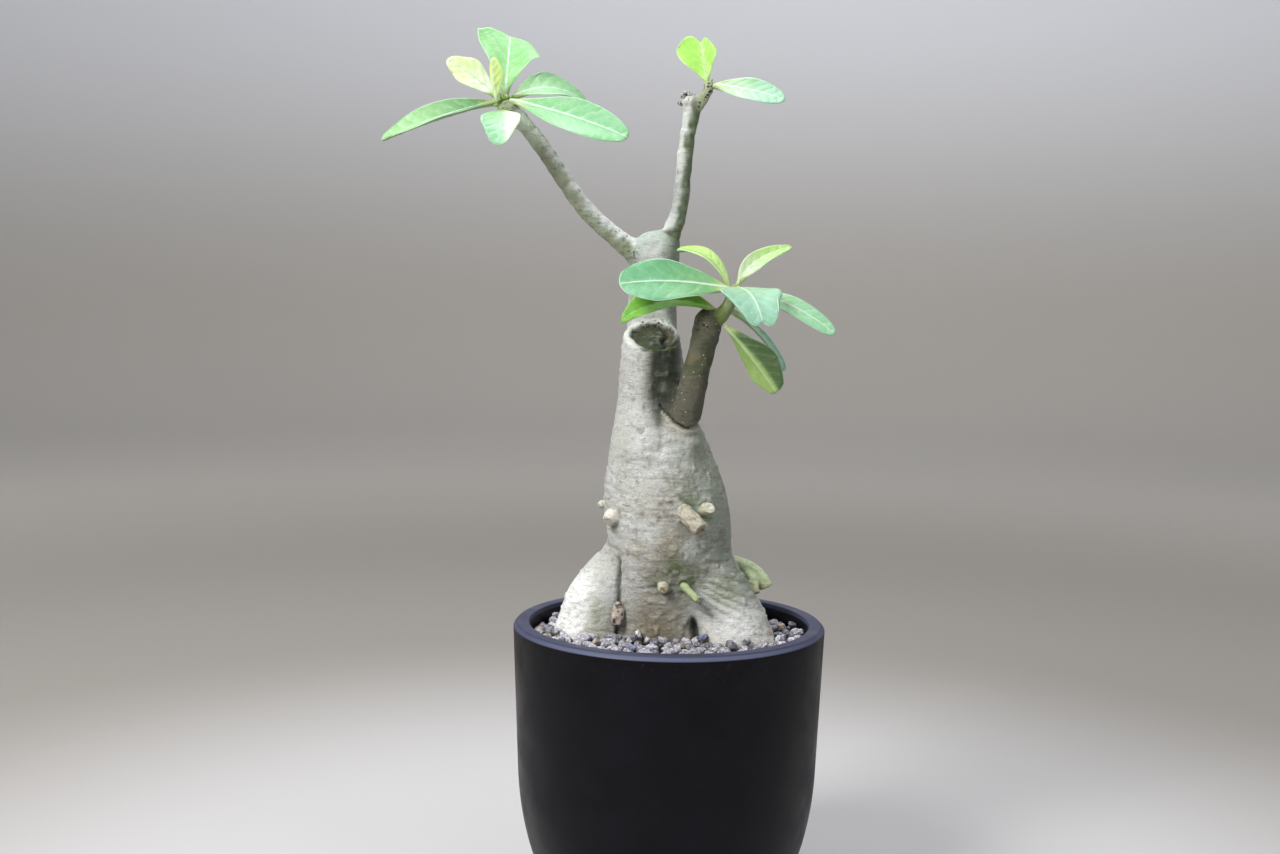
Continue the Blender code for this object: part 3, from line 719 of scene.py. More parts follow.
def make_buds():
    """Bud scales and old leaf bases that fill the crowns between the leaf stalks."""
    material = bark_material("bud_scales")
    rng = np.random.default_rng(5)
    for name, (middle, reach, count, size) in CROWNS.items():
        places = []
        for number in range(count):
            angle = math.tau * (number + rng.uniform(-0.25, 0.25)) / count
            rise = rng.uniform(-0.5, 0.9)
            level = math.cos(rise)
            way = np.array([math.cos(angle) * level, math.sin(angle) * level, math.sin(rise)])
            grown = size * rng.uniform(0.75, 1.2)
            places.append((np.array(middle) + reach * way, (0.62 * grown, 0.62 * grown, 1.5 * grown), way))

        def tint(points):
            green = coat((138, 178, 84), points)
            green = blend(green, srgb(206, 228, 140), smoothstep(0, 0.7, field(points / 1.6, 51)))
            return blend(green, srgb(40, 34, 20), 0.85 * smoothstep(0.45, 0.7, field(points / 1.1, 52)))

        lumps(name + "_buds", places, material, "green_shoot", tint)


def make_dead_tip():
    """The dead, knobbly end of the right branch: a clutch of small pale lumps with black pits."""
    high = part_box("branch_right")[1].z / MM
    top = np.array([4.2, 11, high - 0.6])
    places = [(top + (dx, dy, dz), (size, 0.8 * size, size), (dx + 0.1, dy, 1))
              for dx, dy, dz, size in ((-1.9, -0.6, 0.3, 1.3), (0.3, -1.4, 0.9, 1.3), (1.7, 0.4, 0.3, 1.3),
                                       (-0.5, 1.3, 0.8, 1.5), (-2.9, 0.2, -2.4, 1.3), (2.2, -0.8, -1.9, 1.1),
                                       (0.2, -2.3, -1.5, 1.2), (-1.3, -0.4, 1.8, 0.9))]

    def tint(points):
        pits = smoothstep(0.05, 0.4, field(points / 0.9, 45))
        return blend(coat((190, 188, 184), points), srgb(18, 15, 12), pits)

    lumps("dead_tip", places, bark_material("dead_wood"), "bark", tint, 0.4)


# ---------------------------------------------------------------- leaves


def leaf(heading, rise, length, width, base, tip, **extra):
    """A leaf's design: its run in degrees and millimetres, and its colours near the base and the tip."""
    plain = dict(droop=0, sweep=0, roll=0, twist=0, fold=12, swell=1.3, widest=0.62, end=0.6, rounding=0.2,
                 notch=0.0, skew=0.0, narrow=0.0, corner=0.16, level=0.66, pairs=7, veins=0.6, rib=0.9,
                 margin=0.6, left=None, right=None, stalk=(206, 226, 150), slant=0.0)
    return {"heading": heading, "rise": rise, "length": length, "width": width, "base": base, "tip": tip,
            **plain, **extra}


LEAVES = {
    "leaf_left_crown": leaf(
        88, 66, 31, 27, (168, 232, 150), (160, 230, 150), droop=18, fold=16, swell=1.9, widest=1,
        rounding=0.14, skew=-0.25, pairs=6, veins=0.7, margin=0.8),
    "leaf_left_pale": leaf(
        186, 40, 23, 14, (242, 248, 232), (234, 248, 190), droop=10, roll=-56, fold=12, pairs=6,
        veins=0.3, level=0.92),
    "leaf_left_bud": leaf(
        -130, 74, 15, 8, (226, 244, 150), (236, 252, 140), droop=-14, fold=20, pairs=5, veins=0.2,
        rib=0.4, level=0.95),
    "leaf_left_back": leaf(
        30, 32, 35, 19, (174, 232, 170), (170, 230, 172), droop=68, roll=34, fold=14),
    "leaf_left_long": leaf(
        -16, -11, 49.5, 17, (150, 222, 152), (160, 228, 170), droop=12, roll=52, fold=10, pairs=8,
        veins=0.7, margin=0.5),
    "leaf_left_arching": leaf(
        184, -14, 47, 14, (112, 176, 108), (172, 230, 158), droop=11, roll=-36, fold=30, widest=0.45,
        end=0.3, pairs=9, veins=0.4),
    "leaf_left_front": leaf(
        -90, -10, 25, 15.6, (180, 240, 176), (176, 236, 190), droop=52, fold=14, swell=1.05,
        widest=0.52, end=0.78, rounding=0.32, corner=0.26, pairs=6, veins=0.3, rib=0.2,
        left=(238, 246, 234), slant=0.34),
    "leaf_right_heart": leaf(
        114, 68, 17.5, 21, (190, 240, 120), (186, 246, 110), fold=20, roll=-42, swell=1.7, widest=0.86,
        end=0.8, rounding=0.1, notch=0.15, skew=-0.12, narrow=0.36, corner=0.02, pairs=5, veins=0.12,
        rib=0.4, margin=0.5, level=0.78),
    "leaf_right_pale": leaf(
        -12, -5, 28, 13, (206, 244, 196), (184, 240, 204), droop=14, roll=46, fold=10, swell=0.75,
        veins=0.4),
    "leaf_side_broad": leaf(
        192, 12, 43, 20, (134, 196, 130), (126, 200, 148), droop=21, roll=-50, fold=8, widest=0.7,
        end=0.86, rounding=0.24, corner=0.12, swell=1.0, pairs=6, veins=0.34, margin=0.9, level=0.69),
    "leaf_side_under": leaf(
        184, 28, 40, 14, (134, 188, 56), (120, 186, 56), droop=72, roll=-46, fold=30, end=0.3,
        veins=0.1, rib=0.15, margin=0.15, level=0.85),
    "leaf_side_young_left": leaf(
        150, 70, 29, 7.5, (206, 240, 150), (200, 244, 120), droop=80, roll=-20, fold=16, end=0.5,
        veins=0.2, rib=0.4),
    "leaf_side_young_right": leaf(
        52, 49, 28, 8.5, (222, 240, 200), (196, 238, 140), droop=38, sweep=-56, roll=30, twist=20,
        fold=18, widest=0.42, end=0.35, veins=0.25),
    "leaf_side_front": leaf(
        -72, 5, 29, 25, (176, 224, 180), (168, 222, 196), droop=60, fold=6, notch=0.13, swell=0.85,
        widest=0.55, end=0.8, rounding=0.42, corner=0.24, pairs=6, veins=0.5, margin=0.8),
    "leaf_side_long": leaf(
        -14, -8, 40, 9.5, (172, 220, 168), (164, 218, 176), droop=32, roll=44, fold=8, pairs=9,
        veins=0.5, level=0.78),
    # Its right half is painted dark green as painted shade.
    "leaf_side_hanging": leaf(
        -20, -46, 31.5, 16.5, (186, 222, 128), (200, 234, 142), droop=8, roll=-72, fold=20, widest=0.7,
        end=0.8, veins=0.05, rib=0.2, margin=0.3, right=(66, 100, 40)),
    "leaf_side_behind": leaf(
        24, -30, 32, 9, (126, 178, 134), (146, 198, 168), droop=36, sweep=-34, roll=20, fold=10,
        pairs=8),
}


def midrib(design):
    """The midrib's points, with the directions across and up at each, along its length and a little past."""
    shares = np.linspace(*MIDRIB_SPAN)
    turn = np.radians(design["heading"] + design["sweep"] * shares)
    climb = np.radians(design["rise"] - design["droop"] * shares)
    roll = np.radians(design["roll"] + design["twist"] * shares)[:, None]
    along = np.stack([np.cos(climb) * np.cos(turn), np.cos(climb) * np.sin(turn), np.sin(climb)], 1)
    up = np.stack([-np.sin(climb) * np.cos(turn), -np.sin(climb) * np.sin(turn), np.cos(climb)], 1)
    across = np.cross(along, up)
    step = design["length"] * (shares[1] - shares[0])
    points = np.vstack([np.zeros(3), np.cumsum(along[:-1] * step, 0)])
    flat = across * np.cos(roll) - up * np.sin(roll)
    return shares, points, flat, up * np.cos(roll) + across * np.sin(roll)


def half_width(design, v):
    """Half the blade's width: a narrow stalk, a swelling and a rounded shoulder."""
    full = 0.5 * design["width"]
    v = np.clip(v, 0, 1)
    swell = np.sin(0.5 * np.pi * np.minimum(v / design["widest"], 1)) ** design["swell"]
    past = np.clip((v - design["widest"]) / max(1 - design["widest"], 1e-6), 0, 1)
    shoulder = np.sqrt(1 - past * past * (1 - design["end"] ** 2))
    return (PETIOLE_HALF_WIDTH + (full - PETIOLE_HALF_WIDTH) * swell) * shoulder


def blade_surface(design, u, v):
    """The middle of the blade at u across, from -1 to 1, and v along, from 0 to 1."""
    shares, points, across, up = midrib(design)
    bow = np.abs(u)
    lobes = design["notch"] * (1 - (2 * bow - 1) ** 2) - design["rounding"] * u * u + design["skew"] * u
    corner = design["corner"] * design["end"] * smoothstep(0.6, 1, bow) * smoothstep(0.6, 1, v)
    reach = v + (np.clip(v, 0, 1) ** 2 * lobes - corner) * design["width"] / design["length"]
    half = half_width(design, v)
    fold = math.radians(design["fold"])
    wave = 0.03 * design["width"] * bow ** 3 * np.sin(9 * v + 2.4 * np.sign(u)) * smoothstep(0.15, 0.5, v)
    where = [np.stack([np.interp(reach, shares, column) for column in rows.T], -1)
             for rows in (points, across, up)]
    half = half * (1 - design["narrow"] * np.clip(u, 0, None) / np.maximum(np.abs(u), 0.01))
    return (where[0] + where[1] * (u * half * math.cos(fold))[..., None]
            + where[2] * (bow * half * math.sin(fold) + wave)[..., None])


def blade_marks(design, u, v):
    """Distances in millimetres from the midrib and the margin, and which side vein a point is near."""
    half = half_width(design, v)
    rib = np.abs(u) * half
    edge = np.minimum(half * (1 - np.abs(u)), (1 - v) * design["length"] * 0.9)
    drift = 0.75 * rib + 0.5 * rib * rib / (0.5 * design["width"])
    vein = design["pairs"] * (v - drift / design["length"]) + np.where(u > 0, 0.45, 0.0) + 8
    return rib, edge, vein


def blade_colours(design, u, v, below):
    """The blade's colour: from base to tip, with a lighter half or a darker half of painted shade, and paler
    below.
    """
    colours = np.empty((u.size, 3))
    colours[:] = srgb(*design["base"], design["level"])
    colours = blend(colours, srgb(*design["tip"], design["level"]), smoothstep(0.15, 0.75, v.ravel()))
    for side, key in ((-1, "left"), (1, "right")):
        if design[key]:
            share = smoothstep(-0.05, 0.3, side * u.ravel() - design["slant"] * (v.ravel() - 0.3))
            colours = blend(colours, srgb(*design[key], design["level"]), share)
    colours = blend(colours, srgb(*design["stalk"], design["level"]), 1 - smoothstep(0.02, 0.2, v.ravel()))
    if below:
        # A leaf with a half painted dark as shade is paled less below.
        paler = 0.08 if design["right"] else 0.45
        colours = blend(colours, srgb(176, 206, 150, design["level"]), np.full(u.size, paler))
    return colours


def leaf_mesh(name, design):
    """A closed blade: two skins that share their margin, thickest along the midrib."""
    start = -STALK_OVERLAP / design["length"]
    rows = np.linspace(0, 1, BLADE_ROWS + 1)
    v_line = start + (1 - start) * (1 - (1 - rows) ** 1.25)
    u_line = np.sin(0.5 * np.pi * np.linspace(-1, 1, BLADE_COLUMNS + 1))
    v, u = np.meshgrid(v_line, u_line, indexing="ij")
    middle = blade_surface(design, u, v)
    down, over = np.gradient(middle, axis=0), np.gradient(middle, axis=1)
    normal = np.cross(over, down)
    normal /= np.maximum(np.linalg.norm(normal, axis=2, keepdims=True), 1e-9)
    rib, edge, vein = blade_marks(design, u, v)
    stalk = 1 - smoothstep(0.0, 0.22, v)
    body = 0.32 + 0.2 * bell(rib, 2.2) + 0.5 * stalk
    body = body * np.sqrt(np.clip(edge / 0.7, 0, 1))
    ribs = bell(rib, 0.55 - 0.3 * np.clip(v, 0, 1))
    nearest = np.abs(vein % 1 - 0.5) * design["length"] / design["pairs"]
    veins = bell(nearest, 0.5) * smoothstep(0.3, 1.5, edge) * smoothstep(0.08, 0.25, v)
    inner = smoothstep(0, 0.8, edge)
    top = middle + normal * (body + inner * (0.22 * ribs - 0.16 * veins))[..., None]
    bottom = middle - normal * (body + inner * (0.5 * ribs + 0.18 * veins))[..., None]

    shape = u.shape
    border = np.zeros(shape, bool)
    border[0] = border[-1] = border[:, 0] = border[:, -1] = True
    upper = np.arange(u.size).reshape(shape)
    lower = upper.copy()
    inside = ~border
    lower[inside] = u.size + np.arange(inside.sum())
    top[border] = middle[border]
    corners = [grid[a, b] for grid in (upper, lower) for a, b in
               ((slice(None, -1), slice(None, -1)), (slice(None, -1), slice(1, None)),
                (slice(1, None), slice(1, None)), (slice(1, None), slice(None, -1)))]
    faces = np.vstack([np.stack([c.ravel() for c in corners[:4]], 1),
                       np.stack([c.ravel() for c in reversed(corners[4:])], 1)])
    points = np.vstack([top.reshape(-1, 3), bottom[inside]])
    mesh = mesh_of(name + "_blade", points, faces.tolist())

    def both(grid):
        return np.concatenate([grid.ravel(), grid[inside]])

    over_colours = blade_colours(design, u, v, False)
    under_colours = blade_colours(design, u[inside], v[inside], True)
    store(mesh, "tint", np.vstack([over_colours, under_colours]))
    store(mesh, "rib", both(rib / (1.15 - 0.75 * np.clip(v, 0, 1))))
    store(mesh, "edge", both(edge))
    store(mesh, "vein", both(vein))
    store(mesh, "vein_show", both(design["veins"] * smoothstep(0.06, 0.2, v) * smoothstep(0.4, 1.6, edge)))
    store(mesh, "rib_show", both(np.full(shape, design["rib"])))
    store(mesh, "margin_show", both(design["margin"] * smoothstep(0.1, 0.3, v)))
    return mesh, points[: u.size][(v >= 0).ravel()]


def leaf_material():
    """A fleshy blade: pale midrib, fine side veins, light margin and a soft gloss."""
    n = Nodes("leaf_blade", 0.4)
    tint = n.attribute("tint", "Color")
    white = srgb(226, 248, 228, 0.7)
    mottle = n.noise(n.place(), 0.35, 4.0, 0.6)
    fine = n.noise(n.place(), 2.2, 3.0)
    colour = n.mix(n.span(mottle, 0.38, 0.66), n.mix(1.0, tint, (0.82, 0.9, 0.78), "MULTIPLY"), tint)
    stray = n.times(n.math("SUBTRACT", n.noise(n.place(), 0.2, 3.0), 0.5), 1.7)
    wander = n.math("ADD", n.attribute("vein"), stray)
    off = n.math("ABSOLUTE", n.math("SUBTRACT", n.math("FRACT", wander), 0.5))
    near = n.span(off, 0.02, 0.3, 0.12, 0.0)
    line = n.span(off, 0.005, 0.035, 0.6, 0.0)
    net = n.span(n.cells(n.place(), 0.8, "DISTANCE_TO_EDGE"), 0.0, 0.07, 0.16, 0.0)
    veins = n.times(n.math("ADD", n.math("MAXIMUM", line, net), near), n.attribute("vein_show"))
    colour = n.mix(veins, colour, white)
    rib = n.times(n.span(n.attribute("rib"), 0.35, 0.75, 1.0, 0.0), n.attribute("rib_show"))
    colour = n.mix(rib, colour, white)
    margin = n.times(n.span(n.attribute("edge"), 0.05, 0.45, 1.0, 0.0), n.attribute("margin_show"))
    colour = n.mix(margin, colour, white)
    n.bump(mottle, 0.3, 0.5)
    n.bump(fine, 0.06, 0.5)
    n.bump(n.math("SUBTRACT", 1.0, line), 0.1, 0.6)
    n.shader.inputs["Subsurface Weight"].default_value = 0.15
    n.shader.inputs["Subsurface Radius"].default_value = (0.5, 1.0, 0.3)
    n.shader.inputs["Subsurface Scale"].default_value = 0.0008
    return n.finish(colour, n.span(fine, 0.3, 0.7, 0.34, 0.48))


def make_leaves():
    material = leaf_material()
    for name, design in LEAVES.items():
        mesh, sample = leaf_mesh(name, design)
        low, high = (np.array(corner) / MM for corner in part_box(name))
        shift = 0.5 * (low + high) - 0.5 * (sample.min(0) + sample.max(0))
        write_points(mesh, read_points(mesh) + shift)
        young = any(word in name for word in ("pale", "bud", "heart", "young"))
        slot = "young_leaf" if young and "right_pale" not in name else "leaf"
        piece(name + "_blade", mesh, material, slot, name)


# ---------------------------------------------------------------- pot


def pot_radius(z, top_radius, height):
    radius = top_radius - POT_TAPER * (height - z)
    drop = max(0.0, BELLY_HEIGHT - z) / BELLY_DEPTH
    return radius - BELLY_REACH * (1 - math.sqrt(1 - drop * drop))


def rounded(corner, start, end, reach):
    """Points of a small round between two directions at a profile corner."""
    first = corner + (start - corner).normalized() * reach
    last = corner + (end - corner).normalized() * reach
    path = []
    for step in range(CORNER_STEPS + 1):
        t = step / CORNER_STEPS
        path.append(first * (1 - t) ** 2 + corner * 2 * t * (1 - t) + last * t ** 2)
    return path


def pot_profile(radius, height):
    """The wall's section from the middle of the floor over the rim and down to the middle of the base."""
    inner = [Vector((pot_radius(z, radius, height) - WALL, z)) for z in np.linspace(POT_FLOOR, height, 30)]
    outer = [Vector((pot_radius(z, radius, height), z)) for z in np.linspace(height - 1.7, 3, 46)]
    lip_in, lip_out = inner[-1], Vector((radius - 1.7, height))
    base = pot_radius(3, radius, height) - 3
    path = [Vector((0, POT_FLOOR)), *inner[:-1]]
    path += rounded(lip_in, inner[-2], lip_out, 0.7)
    path += rounded(lip_out, lip_in, outer[0], 0.45)
    path += rounded(outer[0], lip_out, outer[1], 0.45)
    path += outer[1:]
    path += [Vector((base + 1.5, 1.3)), Vector((base + 0.4, 0.45)), Vector((base - 1, 0)), Vector((0, 0))]
    return path


def turned_mesh(path, sides):
    """A solid of revolution from a section whose ends are on the axis."""
    angles = np.linspace(0, math.tau, sides, endpoint=False)
    rings = [np.stack([p.x * np.cos(angles), p.x * np.sin(angles), np.full(sides, p.y)], 1)
             for p in path[1:-1]]
    points = np.vstack([*rings, [[0, 0, path[0].y]], [[0, 0, path[-1].y]]])
    faces = []
    count = len(rings)
    for ring in range(count - 1):
        for side in range(sides):
            after = (side + 1) % sides
            faces.append((ring * sides + side, (ring + 1) * sides + side, (ring + 1) * sides + after,
                          ring * sides + after))
    for side in range(sides):
        after = (side + 1) % sides
        faces.append((count * sides, side, after))
        faces.append((count * sides + 1, (count - 1) * sides + after, (count - 1) * sides + side))
    mesh = mesh_of("turned", points, faces)
    face_outward(mesh)
    return mesh


def pot_material():
    """Near-black matt glaze with a cool cast, fine orange peel, sparse specks, dust towards the rim and a
    painted reflection on the rim's bevel and top.
    """
    n = Nodes("pot_glaze", 0.45)
    cloud = n.noise(n.place(), 0.06, 4.0)
    peel = n.noise(n.place(), 0.9, 3.0)
    colour = n.mix(n.span(cloud, 0.35, 0.7), srgb(6, 6, 11), srgb(12, 12, 19))
    specks = n.span(n.cells(n.place(), 0.28), 0.03, 0.075, 1.0, 0.0)
    colour = n.mix(n.times(specks, 0.25), colour, srgb(80, 82, 96))
    level = n.node("SeparateXYZ", Vector=n.place()).outputs["Z"]
    # Painted reflection: the rim's bevel and flat top take a lighter slate blue, brightest at the front.
    front = n.span(n.node("SeparateXYZ", Vector=n.place()).outputs["Y"], -20, -56)
    colour = n.mix(n.span(level, 117.9, 118.5), colour, n.mix(front, srgb(66, 69, 92), srgb(86, 90, 112)))
    colour = n.mix(n.span(level, 119.2, 119.8), colour, srgb(54, 57, 78))
    patchy = n.span(n.noise(n.place(), 0.5, 5.0, 0.7), 0.55, 0.8, 0.0, 0.2)
    dust = n.times(n.span(level, 100, 120), patchy)
    colour = n.mix(dust, colour, srgb(86, 86, 98))
    n.shader.inputs["Specular IOR Level"].default_value = 0.15
    n.bump(peel, 0.06, 0.6)
    n.bump(cloud, 0.25, 0.5)
    return n.finish(colour, n.span(cloud, 0.3, 0.7, 0.34, 0.5))


def make_pot():
    low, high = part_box("pot")
    path = pot_profile(0.5 * (high.x - low.x) / MM, high.z / MM)
    mesh = turned_mesh(path, POT_SIDES)
    drills = []
    for hole in range(3):
        angle = math.tau * (hole + 0.5) / 3
        form = bmesh.new()
        middle = Vector((math.cos(angle), math.sin(angle), 0)) * DRAIN_RING
        bmesh.ops.create_cone(form, cap_ends=True, segments=40, radius1=DRAIN_RADIUS, radius2=DRAIN_RADIUS,
                              depth=32 * MM, matrix=Matrix.Translation(middle))
        drill = bpy.data.meshes.new("drill")
        form.to_mesh(drill)
        form.free()
        drills.append(drill)
    cutter = added("drain_drills", joined(drills))
    mesh = run_modifiers(mesh, ("BOOLEAN", {"operation": "DIFFERENCE", "object": cutter}))
    bpy.data.objects.remove(cutter)
    piece("pot_body", mesh, pot_material(), "pot", "pot")
    mesh.set_sharp_from_angle(angle=math.radians(38))


# ---------------------------------------------------------------- gravel and soil


def stone_template():
    form = bmesh.new()
    bmesh.ops.create_icosphere(form, subdivisions=3, radius=1)
    mesh = bpy.data.meshes.new("stone")
    form.to_mesh(mesh)
    form.free()
    points = read_points(mesh) * MM
    faces = np.empty(len(mesh.polygons) * 3, np.int32)
    mesh.polygons.foreach_get("vertices", faces)
    return points, faces.reshape(-1, 3)


def stone_shape(sphere, size, rng):
    """A rounded but chipped lump: a squashed ball cut by a few soft planes, with pores."""
    points = sphere.copy()
    for _ in range(9):
        facing = rng.normal(size=3)
        facing /= np.linalg.norm(facing)
        depth = rng.uniform(0.55, 0.86)
        beyond = points @ facing - depth
        points -= np.outer(np.clip(beyond, 0, None) * 0.94, facing)
    points *= 1 + 0.14 * field(sphere * 1.6 + rng.uniform(0, 90, 3), 31)[:, None]
    points *= 1 + 0.1 * field(sphere * 4.5 + rng.uniform(0, 90, 3), 32)[:, None]
    points *= size * np.array([1.12, 0.92, 0.74]) * rng.uniform(0.85, 1.15, 3)
    turn, _ = np.linalg.qr(rng.normal(size=(3, 3)))
    lie = np.diag([1, 1, 0.85])
    return points @ turn @ lie


def stone_places(skin, floor, wall, rng):
    """Middles and sizes of stones between the plant and the wall, some lying on others."""
    tree = search_tree(skin.data)
    placed = []
    for layer, count in ((0, STONES), (1, STONES // 2)):
        tries = 0
        made = 0
        while made < count and tries < STONE_TRIES:
            tries += 1
            size = rng.uniform(2.0, 3.5) if rng.random() < 0.84 else rng.uniform(3.4, 4.3)
            angle = rng.uniform(0, math.tau)
            radius = (wall - 0.75 * size) * math.sqrt(rng.uniform(0, 1))
            x, y = radius * math.cos(angle), radius * math.sin(angle)
            z = floor + 0.25 * size + layer * rng.uniform(1.5, 2.4)
            spot, normal, _, _ = tree.find_nearest(Vector((x, y, z)) * MM)
            away = (Vector((x, y, z)) * MM - spot).dot(normal) / MM
            if away < 0.6 * size:
                continue
            z += 1.3 * math.exp(-away / 4)
            spacing = 0.8 if layer == 0 else 0.95
            if any(math.dist((x, y, 1.3 * z), (px, py, 1.3 * pz)) < spacing * (size + other)
                   for px, py, pz, other in placed):
                continue
            placed.append((x, y, z, size))
            made += 1
    return placed


def stone_colour(rng):
    """Mostly grey lava with a violet cast, some darker, a few tan, rusty, pale or bluish ones."""
    pick = rng.random()
    if pick < 0.62:
        base = np.array(srgb(206, 203, 211))
    elif pick < 0.78:
        base = np.array(srgb(140, 139, 150))
    elif pick < 0.9:
        base = np.array(srgb(236, 233, 234))
    elif pick < 0.95:
        base = np.array(srgb(188, 170, 146))
    else:
        base = np.array(srgb(124, 138, 172))
    return base * rng.uniform(0.7, 1.25)


def gravel_material():
    """Porous lava: pitted, with a dust-grey cast and without gloss."""
    n = Nodes("lava_gravel", 0.9)
    tint = n.attribute("tint", "Color")
    blotch = n.noise(n.place(), 0.9, 5.0, 0.65)
    pores = n.cells(n.place(), 1.9)
    colour = n.mix(n.span(blotch, 0.34, 0.68), n.mix(1.0, tint, (0.3, 0.29, 0.32), "MULTIPLY"),
                   n.mix(0.28, tint, (0.66, 0.66, 0.7)))
    colour = n.mix(n.span(pores, 0.1, 0.32, 0.7, 0.0), colour, (0.015, 0.014, 0.016))
    n.bump(blotch, 0.5, 0.8)
    n.bump(n.span(pores, 0.05, 0.4), 0.45, 0.9)
    return n.finish(colour)


def make_gravel(skin):
    rng = np.random.default_rng(GRAVEL_SEED)
    low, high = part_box("top_dressing")
    floor, wall = high.z / MM, high.x / MM
    sphere, triangles = stone_template()
    places = stone_places(skin, floor, wall, rng)
    points, faces, tints = [], [], []
    for x, y, z, size in places:
        shape = stone_shape(sphere, size, rng) + (x, y, z)
        faces.append(triangles + len(points) * len(sphere))
        points.append(shape)
        # Painted shade: each stone is painted darker towards its underside.
        stone_shade = 0.3 + 0.8 * smoothstep(-0.35, 0.5, (shape[:, 2] - z) / size)
        tints.append(stone_shade[:, None] * stone_colour(rng))
    mesh = mesh_of("gravel", np.vstack(points), np.vstack(faces).tolist())
    store(mesh, "tint", np.vstack(tints))
    face_outward(mesh)
    piece("gravel_stones", mesh, gravel_material(), "gravel")


def soil_material(name, dark, light, grain):
    """Loose grains seen only between stones and through the drain holes."""
    n = Nodes(name, 0.95)
    lumps = n.cells(n.place(), grain)
    dirt = n.noise(n.place(), 1.4 * grain, 5.0, 0.7)
    colour = n.mix(n.span(dirt, 0.35, 0.7), dark, light)
    colour = n.shade(n.span(lumps, 0.2, 0.6, 0.0, 0.8), colour, (0.2, 0.2, 0.2))
    n.bump(lumps, 1.2, 0.9)
    n.bump(dirt, 0.5, 0.8)
    return n.finish(colour)


def dress_soil(frame):
    looks = {
        "top_dressing": soil_material("gravel_bed", srgb(18, 17, 20), srgb(44, 42, 46), 0.45),
        "potting_mix": soil_material("potting_soil", srgb(38, 28, 22), srgb(84, 66, 50), 0.6),
        "drainage_layer": soil_material("drainage_pumice", srgb(92, 84, 78), srgb(150, 140, 130), 0.25),
    }
    for name, material in looks.items():
        mesh = frame["nodes"][name].data
        mesh.materials.clear()
        mesh.materials.append(material)


# ---------------------------------------------------------------- stage, light and camera


def make_stage():
    """A pale floor that curves up all round into a backdrop, with painted light and shade: lighter near the
    pot, darker in a ring further out and near white up the wall.
    """
    path = [(0.0, 0.0), (0.5, 0.0), (1.2, 0.0), (1.9, 0.0)]
    path += [(1.9 + 0.9 * math.sin(t), 0.9 * (1 - math.cos(t))) for t in np.linspace(0.1, 0.5 * math.pi, 14)]
    path += [(2.8, 1.5), (2.8, 3.2)]
    sides = 96
    points, faces = [(0, 0, 0)], []
    for radius, z in path[1:]:
        points += [(radius * math.cos(math.tau * s / sides), radius * math.sin(math.tau * s / sides), z)
                   for s in range(sides)]
    for side in range(sides):
        after = (side + 1) % sides
        faces.append((0, 1 + side, 1 + after))
        for ring in range(len(path) - 2):
            start = 1 + ring * sides
            faces.append((start + side, start + sides + side, start + sides + after, start + after))
    mesh = bpy.data.meshes.new("studio_sweep")
    mesh.from_pydata(points, [], faces)
    mesh.shade_smooth()
    sweep = added("studio_sweep", mesh)
    n = Nodes("studio_paper", 0.9)
    spot = n.node("SeparateXYZ", Vector=n.node("TexCoord").outputs["Object"])
    squares = [n.math("POWER", spot.outputs[axis], 2.0) for axis in "XY"]
    out = n.math("SQRT", n.math("ADD", *squares))
    # Painted light and shade on the paper: lighter near the pot, darker in a ring further out, near white up
    # the wall.
    near = n.mix(n.span(out, 0.18, 0.5), srgb(188, 186, 186), srgb(144, 139, 133))
    far = n.mix(n.span(out, 0.75, 1.4), near, srgb(182, 177, 170))
    wall = n.mix(n.span(spot.outputs["Z"], 0.15, 0.85), far, srgb(240, 241, 246))
    n.finish(wall)
    mesh.materials.append(n.material)


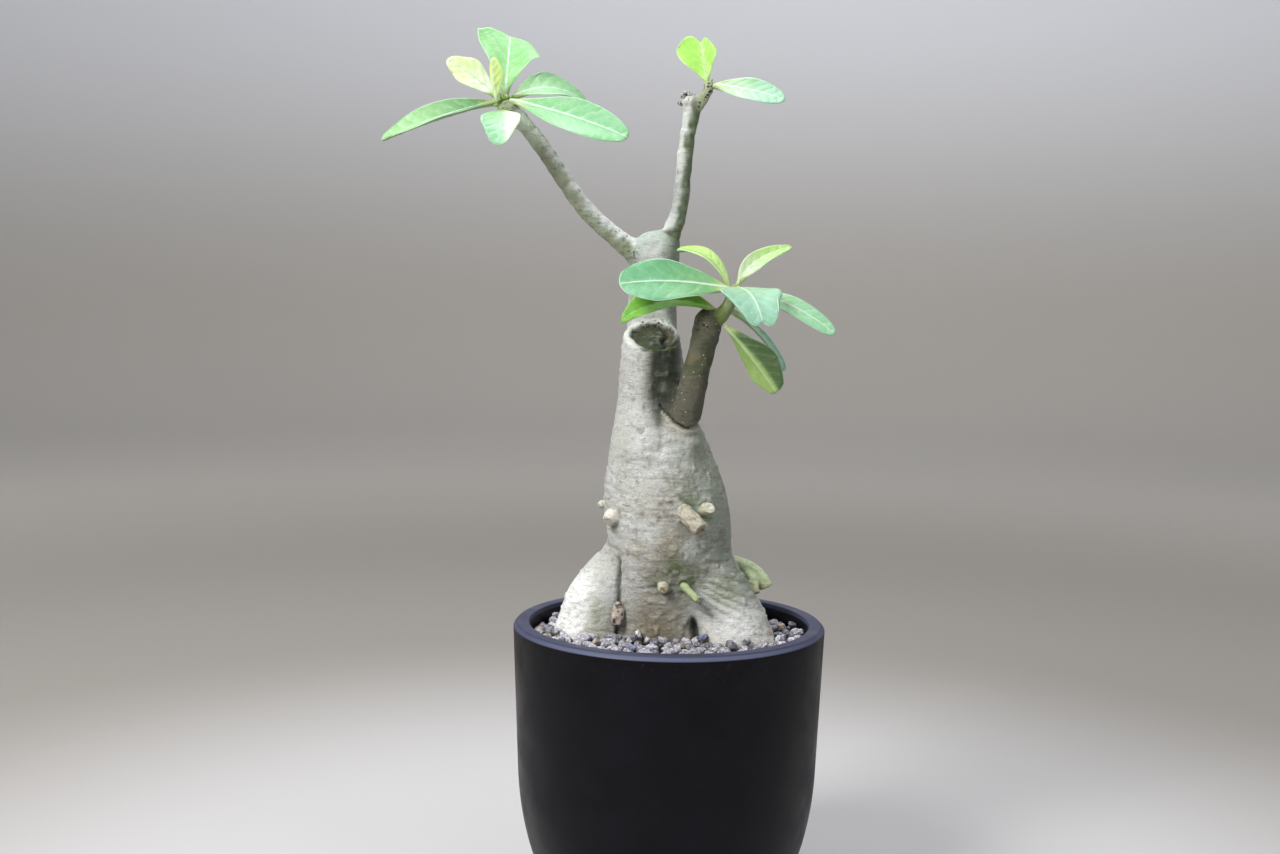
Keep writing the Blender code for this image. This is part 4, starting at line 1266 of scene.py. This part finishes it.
def area_light(name, place, size, power, colour, target=(0, 0, 0.2), spread=math.pi):
    data = bpy.data.lights.new(name, "AREA")
    data.shape = "SQUARE"
    data.size = size
    data.energy = power
    data.spread = spread
    data.color = colour
    lamp = added(name, data)
    lamp.location = place
    lamp.rotation_euler = (Vector(target) - Vector(place)).to_track_quat("-Z", "Y").to_euler()
    lamp.visible_camera = False


def make_lights():
    world = bpy.data.worlds.new("soft_room")
    bpy.context.scene.world = world
    world.use_nodes = True
    world.node_tree.nodes["Background"].inputs["Color"].default_value = (0.92, 0.96, 1.0, 1)
    world.node_tree.nodes["Background"].inputs["Strength"].default_value = 0.42
    area_light("key", (-0.75, -0.75, 1.0), 0.5, 19, (1.0, 0.99, 0.97))
    area_light("fill", (1.0, -0.7, 0.5), 1.0, 3.5, (0.95, 0.98, 1.0))
    area_light("top", (-0.1, 0.25, 1.3), 0.7, 10, (0.98, 0.99, 1.0))
    area_light("backdrop_wash", (0.35, 1.3, 2.1), 1.0, 5.1, (0.97, 0.98, 1.0), target=(0.2, 2.8, 1.0),
               spread=math.radians(110))
    bpy.context.scene.view_settings.view_transform = "Standard"


def make_camera():
    data = bpy.data.cameras.new("camera")
    data.lens = 47.8
    data.sensor_width = 36
    camera = added("camera", data)
    camera.location = (-0.0129, -0.672, 0.2681)
    tilt = Matrix.Rotation(math.radians(90 - 5.95), 4, "X")
    roll = Matrix.Rotation(math.radians(0.94), 4, "Z")
    camera.rotation_euler = (tilt @ roll).to_euler()
    bpy.context.scene.camera = camera


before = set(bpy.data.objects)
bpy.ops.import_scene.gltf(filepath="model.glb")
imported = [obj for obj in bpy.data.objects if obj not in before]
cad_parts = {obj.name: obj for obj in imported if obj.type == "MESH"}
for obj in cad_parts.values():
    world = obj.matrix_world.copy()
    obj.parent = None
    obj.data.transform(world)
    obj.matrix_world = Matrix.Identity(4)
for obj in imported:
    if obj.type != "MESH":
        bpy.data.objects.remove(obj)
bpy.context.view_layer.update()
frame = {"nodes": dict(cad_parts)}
make_camera()
make_stage()
make_lights()
skin = make_skin(frame)
make_leaves()
make_pot()
make_gravel(skin)
make_stubs(frame)
make_buds()
make_dead_tip()
dress_soil(frame)
